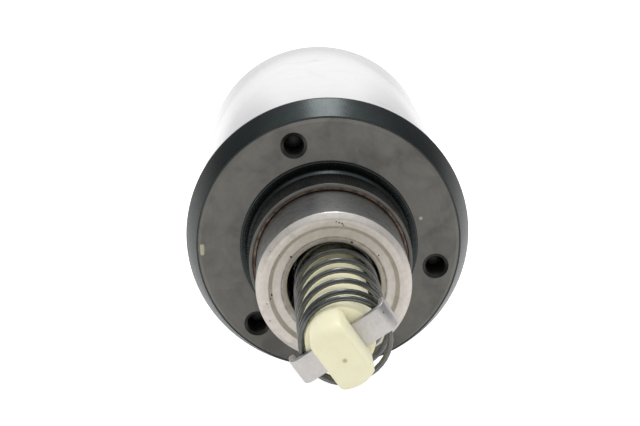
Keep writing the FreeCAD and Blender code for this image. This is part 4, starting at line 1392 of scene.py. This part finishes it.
@dataclass
class MainTerminals:
    """Both threaded studs with their washers, lock washers and nuts."""

    spread: float = 13.0
    head_radius: float = 6.5
    head_front: float = 87.2
    head_rear: float = 91.7
    radius: float = 4.0
    thread_root: float = 3.4
    pitch: float = 1.25
    thread_form: tuple[float, float, float] = (0.4, 0.52, 0.9)
    thread_front: float = 99.0
    end: float = 119.2
    end_chamfer: float = 0.8
    boss_rear: float = 99.7
    washer_radius: float = 8.0
    washer: float = 1.4
    jam_nut: float = 4.0
    lock_radius: float = 6.4
    lock_washer: float = 2.0
    lock_split: float = 0.7
    lock_split_inset: float = 0.5
    nut: float = 6.5
    flats: float = 13.0
    corner_reach: float = 0.2
    corner_depth: float = 0.7
    face_inset: float = 0.15
    bore: float = 4.05
    bore_mouth: float = 0.5
    play: float = 0.05
    overcut: float = 1.0

    def stud(self, side: Side) -> Form:
        """One stud, with its contact head in front and its threaded end behind.

        Args:
            side: the side of the axis that it stands on.

        Returns:
            The stud.
        """
        corners = [
            Corner(0.0, self.head_front),
            Corner(self.head_radius, self.head_front, 0.3),
            Corner(self.head_radius, self.head_rear, 0.2),
            Corner(self.radius, self.head_rear),
        ]
        root_start, root_end, crest = self.thread_form
        place = self.thread_front
        while place + self.pitch < self.end - self.end_chamfer:
            corners.append(Corner(self.radius, place))
            corners.append(Corner(self.thread_root, place + self.pitch * root_start))
            corners.append(Corner(self.thread_root, place + self.pitch * root_end))
            corners.append(Corner(self.radius, place + self.pitch * crest))
            place += self.pitch
        corners.append(Corner(self.radius, place))
        corners.append(Corner(self.radius, self.end - self.end_chamfer))
        corners.append(Corner(self.radius - self.end_chamfer, self.end, 0.1))
        corners.append(Corner(0.0, self.end))
        form = Form().turn(corners, steps=64, closed=False)
        return form.shift((side.value * self.spread, 0.0, 0.0))

    def ring(self, radius: float, front: float, thickness: float) -> Form:
        """A flat ring with soft edges.

        Args:
            radius: its outer radius.
            front: where it starts.
            thickness: how thick it is.

        Returns:
            The ring, round the model's axis.
        """
        bore = self.bore + self.play
        return Form().turn([
            Corner(bore, front, 0.12),
            Corner(radius, front, 0.2),
            Corner(radius, front + thickness, 0.3),
            Corner(bore, front + thickness, 0.2),
        ], steps=80)

    def nuts(self, name: str, front: float, thickness: float) -> Piece:
        """A hexagon nut on each stud, with its corners turned off.

        Args:
            name: the piece's name.
            front: where the nuts start.
            thickness: how thick they are.

        Returns:
            The piece.
        """
        rear = front + thickness
        corner = self.flats / 2 / math.cos(math.pi / 6)
        bars = Form().cylinder(corner, front - self.overcut, rear + self.overcut, steps=6)
        bars.rotate(30.0, "Y")
        blank = Form().turn([
            Corner(self.bore, front + self.bore_mouth),
            Corner(self.bore + self.bore_mouth, front),
            Corner(self.flats / 2 - self.face_inset, front),
            Corner(corner + self.corner_reach, front + self.corner_depth),
            Corner(corner + self.corner_reach, rear - self.corner_depth),
            Corner(self.flats / 2 - self.face_inset, rear),
            Corner(self.bore + self.bore_mouth, rear),
            Corner(self.bore, rear - self.bore_mouth),
        ], steps=96)
        cutter = bars.twin(self.spread).face_outwards().object(f"{name}_bars")
        return combine(blank.twin(self.spread).object(name), [cutter], "INTERSECT")

    def lock_washers(self, front: float) -> Piece:
        """A spring washer on each stud, split at the underside.

        Args:
            front: where the washers start.

        Returns:
            The piece.
        """
        ring = self.ring(self.lock_radius, front, self.lock_washer).twin(self.spread)
        rear = front + self.lock_washer
        half = self.lock_split
        cut = Form().prism([(-half * 3, front), (-half, front), (half * 3, rear), (half, rear)],
                           self.lock_radius * 2)
        cut.shift((0.0, 0.0, -self.lock_radius - self.lock_split_inset))
        return combine(ring.object("lock_washers_sprung"),
                       [cut.twin(self.spread).object("splits")], "DIFFERENCE")

    def build(self, shop: Workshop) -> None:
        """Makes the studs and stacks the fasteners on them.

        Args:
            shop: dresses and seats the finished piece.
        """
        for side, node in ((Side.BATTERY, "battery_stud"), (Side.MOTOR, "motor_stud")):
            stud = self.stud(side).object(f"{node}_threaded", sharp_angle=24.0)
            shop.seat(stud, [COPPER_STUD], Body.HOUSING, node)
        place = self.boss_rear
        washers = self.ring(self.washer_radius, place, self.washer).twin(self.spread)
        shop.seat(washers.object("flat_washers_stamped"), [ZINC_FASTENER], Body.HOUSING,
                  "flat_washers")
        place += self.washer
        shop.seat(self.nuts("jam_nuts_cut", place, self.jam_nut), [ZINC_FASTENER],
                  Body.HOUSING, "jam_nuts")
        place += self.jam_nut
        shop.seat(self.lock_washers(place), [ZINC_FASTENER], Body.HOUSING, "lock_washers")
        place += self.lock_washer
        shop.seat(self.nuts("terminal_nuts_cut", place, self.nut), [ZINC_FASTENER],
                  Body.HOUSING, "terminal_nuts")


@dataclass
class ControlBlade:
    """Tinned brass blade through the cap's rear wall, with a foot inside."""

    width: float = 6.3
    thickness: float = 0.8
    height: float = 15.0
    foot_top: float = 19.2
    wall_front: float = 91.7
    end: float = 110.2
    tip_chamfer: float = 1.0
    eye_radius: float = 0.85
    eye_inset: float = 3.2
    eye_reach: float = 5.0
    edge: float = 0.12

    def build(self, shop: Workshop) -> None:
        """Makes the bent strip, rounds its edges and pierces its eye.

        Args:
            shop: dresses and seats the finished piece.
        """
        top = self.height + self.thickness
        front = self.wall_front - self.thickness
        form = Form().prism([
            (self.foot_top, front), (self.height, front), (self.height, self.end),
            (top, self.end), (top, self.wall_front), (self.foot_top, self.wall_front),
        ], self.width)
        form.rotate(-90.0, "Y")
        form.round_edges(
            lambda middle, along: abs(along.z) > ALONG and abs(middle.y - self.end) < NEAR,
            self.tip_chamfer, segments=1)
        form.bevel_sharp(self.edge, segments=2, least_angle=50.0).face_outwards()
        eye = Form().cylinder(self.eye_radius, -self.eye_reach, self.eye_reach, steps=32)
        eye.rotate(90.0, "X").shift((0.0, self.end - self.eye_inset, top))
        piece = combine(form.object("control_blade_stamped"), [eye.object("eye")], "DIFFERENCE")
        shop.seat(piece, [BLADE_BRASS], Body.HOUSING, "control_terminal")


def springs() -> list[CoilSpring]:
    """The four springs of the solenoid.

    Returns:
        The springs, from the front to the rear.
    """
    return [
        CoilSpring("idle_spring_coil", "idle_spring", Body.PLUNGER, "pull_rod_slide",
                   mean_radius=7.75, wire=1.0, turns=11, front=-50.1, rear=0.5, keep=0.931,
                   lean_side=0.92, lean_up=-0.37),
        CoilSpring("plunger_return_spring_coil", "plunger_return_spring", Body.HOUSING,
                   "plunger_slide", mean_radius=8.9, wire=1.6, turns=7, front=5.5, rear=37.3,
                   keep=0.623),
        CoilSpring("over_travel_spring_coil", "over_travel_spring", Body.CONTACT_ROD,
                   "contact_disc_slide", mean_radius=4.6, wire=0.9, turns=4, front=72.2,
                   rear=79.5, keep=0.918, anchor_at_rear=False),
        CoilSpring("contact_return_spring_coil", "contact_return_spring", Body.HOUSING,
                   "contact_rod_slide", mean_radius=3.9, wire=0.7, turns=5, front=85.4,
                   rear=95.2, keep=0.54),
    ]


# Studio


@dataclass
class Studio:
    """Pale floor, soft light and the camera at the photograph's angle."""

    tilt: float = 17.3
    yaw: float = 1.95
    object_right: float = 1.88
    object_down: float = 6.92
    object_ahead: float = 269.8
    focal_pixels: float = 1300.0
    image_width: float = 640.0
    sensor: float = 36.0
    floor_level: float = -30.25
    floor_half: float = 2500.0
    floor_lift: float = 0.8
    floor_gloss_lift: float = 0.15
    box_place: Point = (0.0, 165.0, 400.0)
    box_size: Pair = (115.0, 270.0)
    box_aim: Point = (0.0, 10.0, 0.0)
    box_radiance: float = 5.0
    matt_level: float = 0.95
    backdrop_edge: Pair = (0.8, 0.95)
    horizon_edge: Pair = (0.3, 0.08)
    sheet_edge: Pair = (0.17, 0.3)
    sheet_side: Colour = (0.74, 0.73, 0.73)
    ceiling_edge: Pair = (0.6, 0.92)
    room: Colour = (0.26, 0.27, 0.275)
    ceiling: Colour = (0.78, 0.83, 0.86)

    def camera(self) -> None:
        """Places the camera where the photograph was taken from."""
        data = bpy.data.cameras.new("photo_camera")
        data.sensor_width = self.sensor
        data.lens = self.focal_pixels / self.image_width * self.sensor
        data.clip_start = 0.01
        data.clip_end = 20.0
        camera = link("photo_camera", data)
        turn = Matrix.Rotation(math.radians(90.0 - self.tilt), 4, "X")
        turn = turn @ Matrix.Rotation(math.radians(-self.yaw), 4, "Y")
        back = Vector((-self.object_right, self.object_down, self.object_ahead)) * MM
        camera.matrix_world = turn @ Matrix.Translation(back)
        bpy.context.scene.camera = camera

    def soft_box(self) -> None:
        """Hangs the soft box above the solenoid and aims it. Its face's radiance of 1 is white."""
        data = bpy.data.lights.new("top_box", "AREA")
        data.shape = "RECTANGLE"
        data.size = self.box_size[0] * MM
        data.size_y = self.box_size[1] * MM
        data.energy = self.box_radiance * math.pi * data.size * data.size_y
        lamp = link("top_box", data)
        lamp.location = Vector(self.box_place) * MM
        aim = Vector(self.box_aim) * MM - lamp.location
        lamp.rotation_euler = aim.to_track_quat("-Z", "Y").to_euler()

    @staticmethod
    def rays(graph: Graph) -> tuple[Socket, Socket]:
        """Tells the rays that see the white backdrop from the glossy ones.

        Args:
            graph: the graph of a material or the world.

        Returns:
            Whether a ray comes from the camera or through glass, and whether it is glossy.
        """
        path = graph.add("LightPath").outputs
        seen = graph.math("MAXIMUM", path["Is Camera Ray"], path["Is Transmission Ray"])
        return seen, path["Is Glossy Ray"]

    def sky(self) -> None:
        """White backdrop under a dimmer room, and a plain level for matt surfaces."""
        world = bpy.data.worlds.new("white_tent")
        bpy.context.scene.world = world
        graph = Graph.of(world)
        toward = graph.add("TexCoord").outputs["Generated"]
        across, along, up = graph.add("SeparateXYZ", {0: toward}).outputs
        backdrop = graph.ramp(along, *self.backdrop_edge)
        white_part = graph.math("MAXIMUM", backdrop, graph.ramp(up, *self.horizon_edge))
        side = graph.ramp(graph.math("ABSOLUTE", across), *self.sheet_edge)
        sheet = graph.mix(side, WHITE, (*self.sheet_side, 1.0))
        room = graph.mix(graph.ramp(up, *self.ceiling_edge), (*self.room, 1.0),
                         (*self.ceiling, 1.0))
        seen, glossy = self.rays(graph)
        in_gloss = graph.add(
            "Background", {"Color": graph.mix(white_part, room, sheet), "Strength": 1.0})
        matt = graph.add("Background", {"Color": WHITE, "Strength": self.matt_level})
        white = graph.add("Background", {"Color": WHITE, "Strength": 1.0})
        lit = graph.add("MixShader", {0: glossy, 1: matt.outputs[0], 2: in_gloss.outputs[0]})
        all_rays = graph.add("MixShader", {0: seen, 1: lit.outputs[0], 2: white.outputs[0]})
        graph.add("OutputWorld", {"Surface": all_rays.outputs[0]})

    def floor(self) -> None:
        """A pale floor that looks white to the camera and in gloss, and keeps a shadow."""
        form = Form()
        bmesh.ops.create_grid(form.mesh, x_segments=1, y_segments=1, size=self.floor_half)
        floor = form.shift((0.0, 0.0, self.floor_level)).object("floor")
        made = bpy.data.materials.new("floor_white_sheet")
        graph = Graph.of(made)
        place = graph.add("TexCoord").outputs["Object"]
        fibre = graph.add("TexNoise", {"Vector": place, "Scale": 900.0, "Detail": 3.0})
        tone = graph.mix(fibre.outputs["Fac"], (0.86, 0.86, 0.86, 1.0), (0.9, 0.9, 0.89, 1.0))
        seen, glossy = self.rays(graph)
        lift = graph.math("MULTIPLY", seen, self.floor_lift)
        lift = graph.math("MULTIPLY_ADD", glossy, self.floor_gloss_lift, lift)
        shader = graph.add(
            "BsdfPrincipled",
            {"Base Color": tone, "Roughness": 0.9, "Specular IOR Level": 0.1,
             "Emission Color": WHITE, "Emission Strength": lift})
        graph.add("OutputMaterial", {"Surface": shader.outputs[0]})
        floor.data.materials.append(made)

    def build(self) -> None:
        """Sets up the whole studio."""
        bpy.context.scene.view_settings.view_transform = "Standard"
        self.camera()
        self.sky()
        self.floor()
        self.soft_box()
        log.info("studio: camera, sky, floor and soft box placed")


def main() -> None:
    """Builds the scene, piece by piece."""
    logging.basicConfig(level=logging.INFO, format="%(name)s: %(message)s")
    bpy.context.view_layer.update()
    shop = Workshop()
    Studio().build()
    for piece in (FrontFlange(), CasingParts(), Plunger(), *springs(), PullRod(), SpringKey(),
                  MainTerminals(), ControlBlade()):
        piece.build(shop)
    for node, finish in NODE_FINISHES.items():
        shop.dress_node(node, finish)


if __name__ == "__main__":
    main()
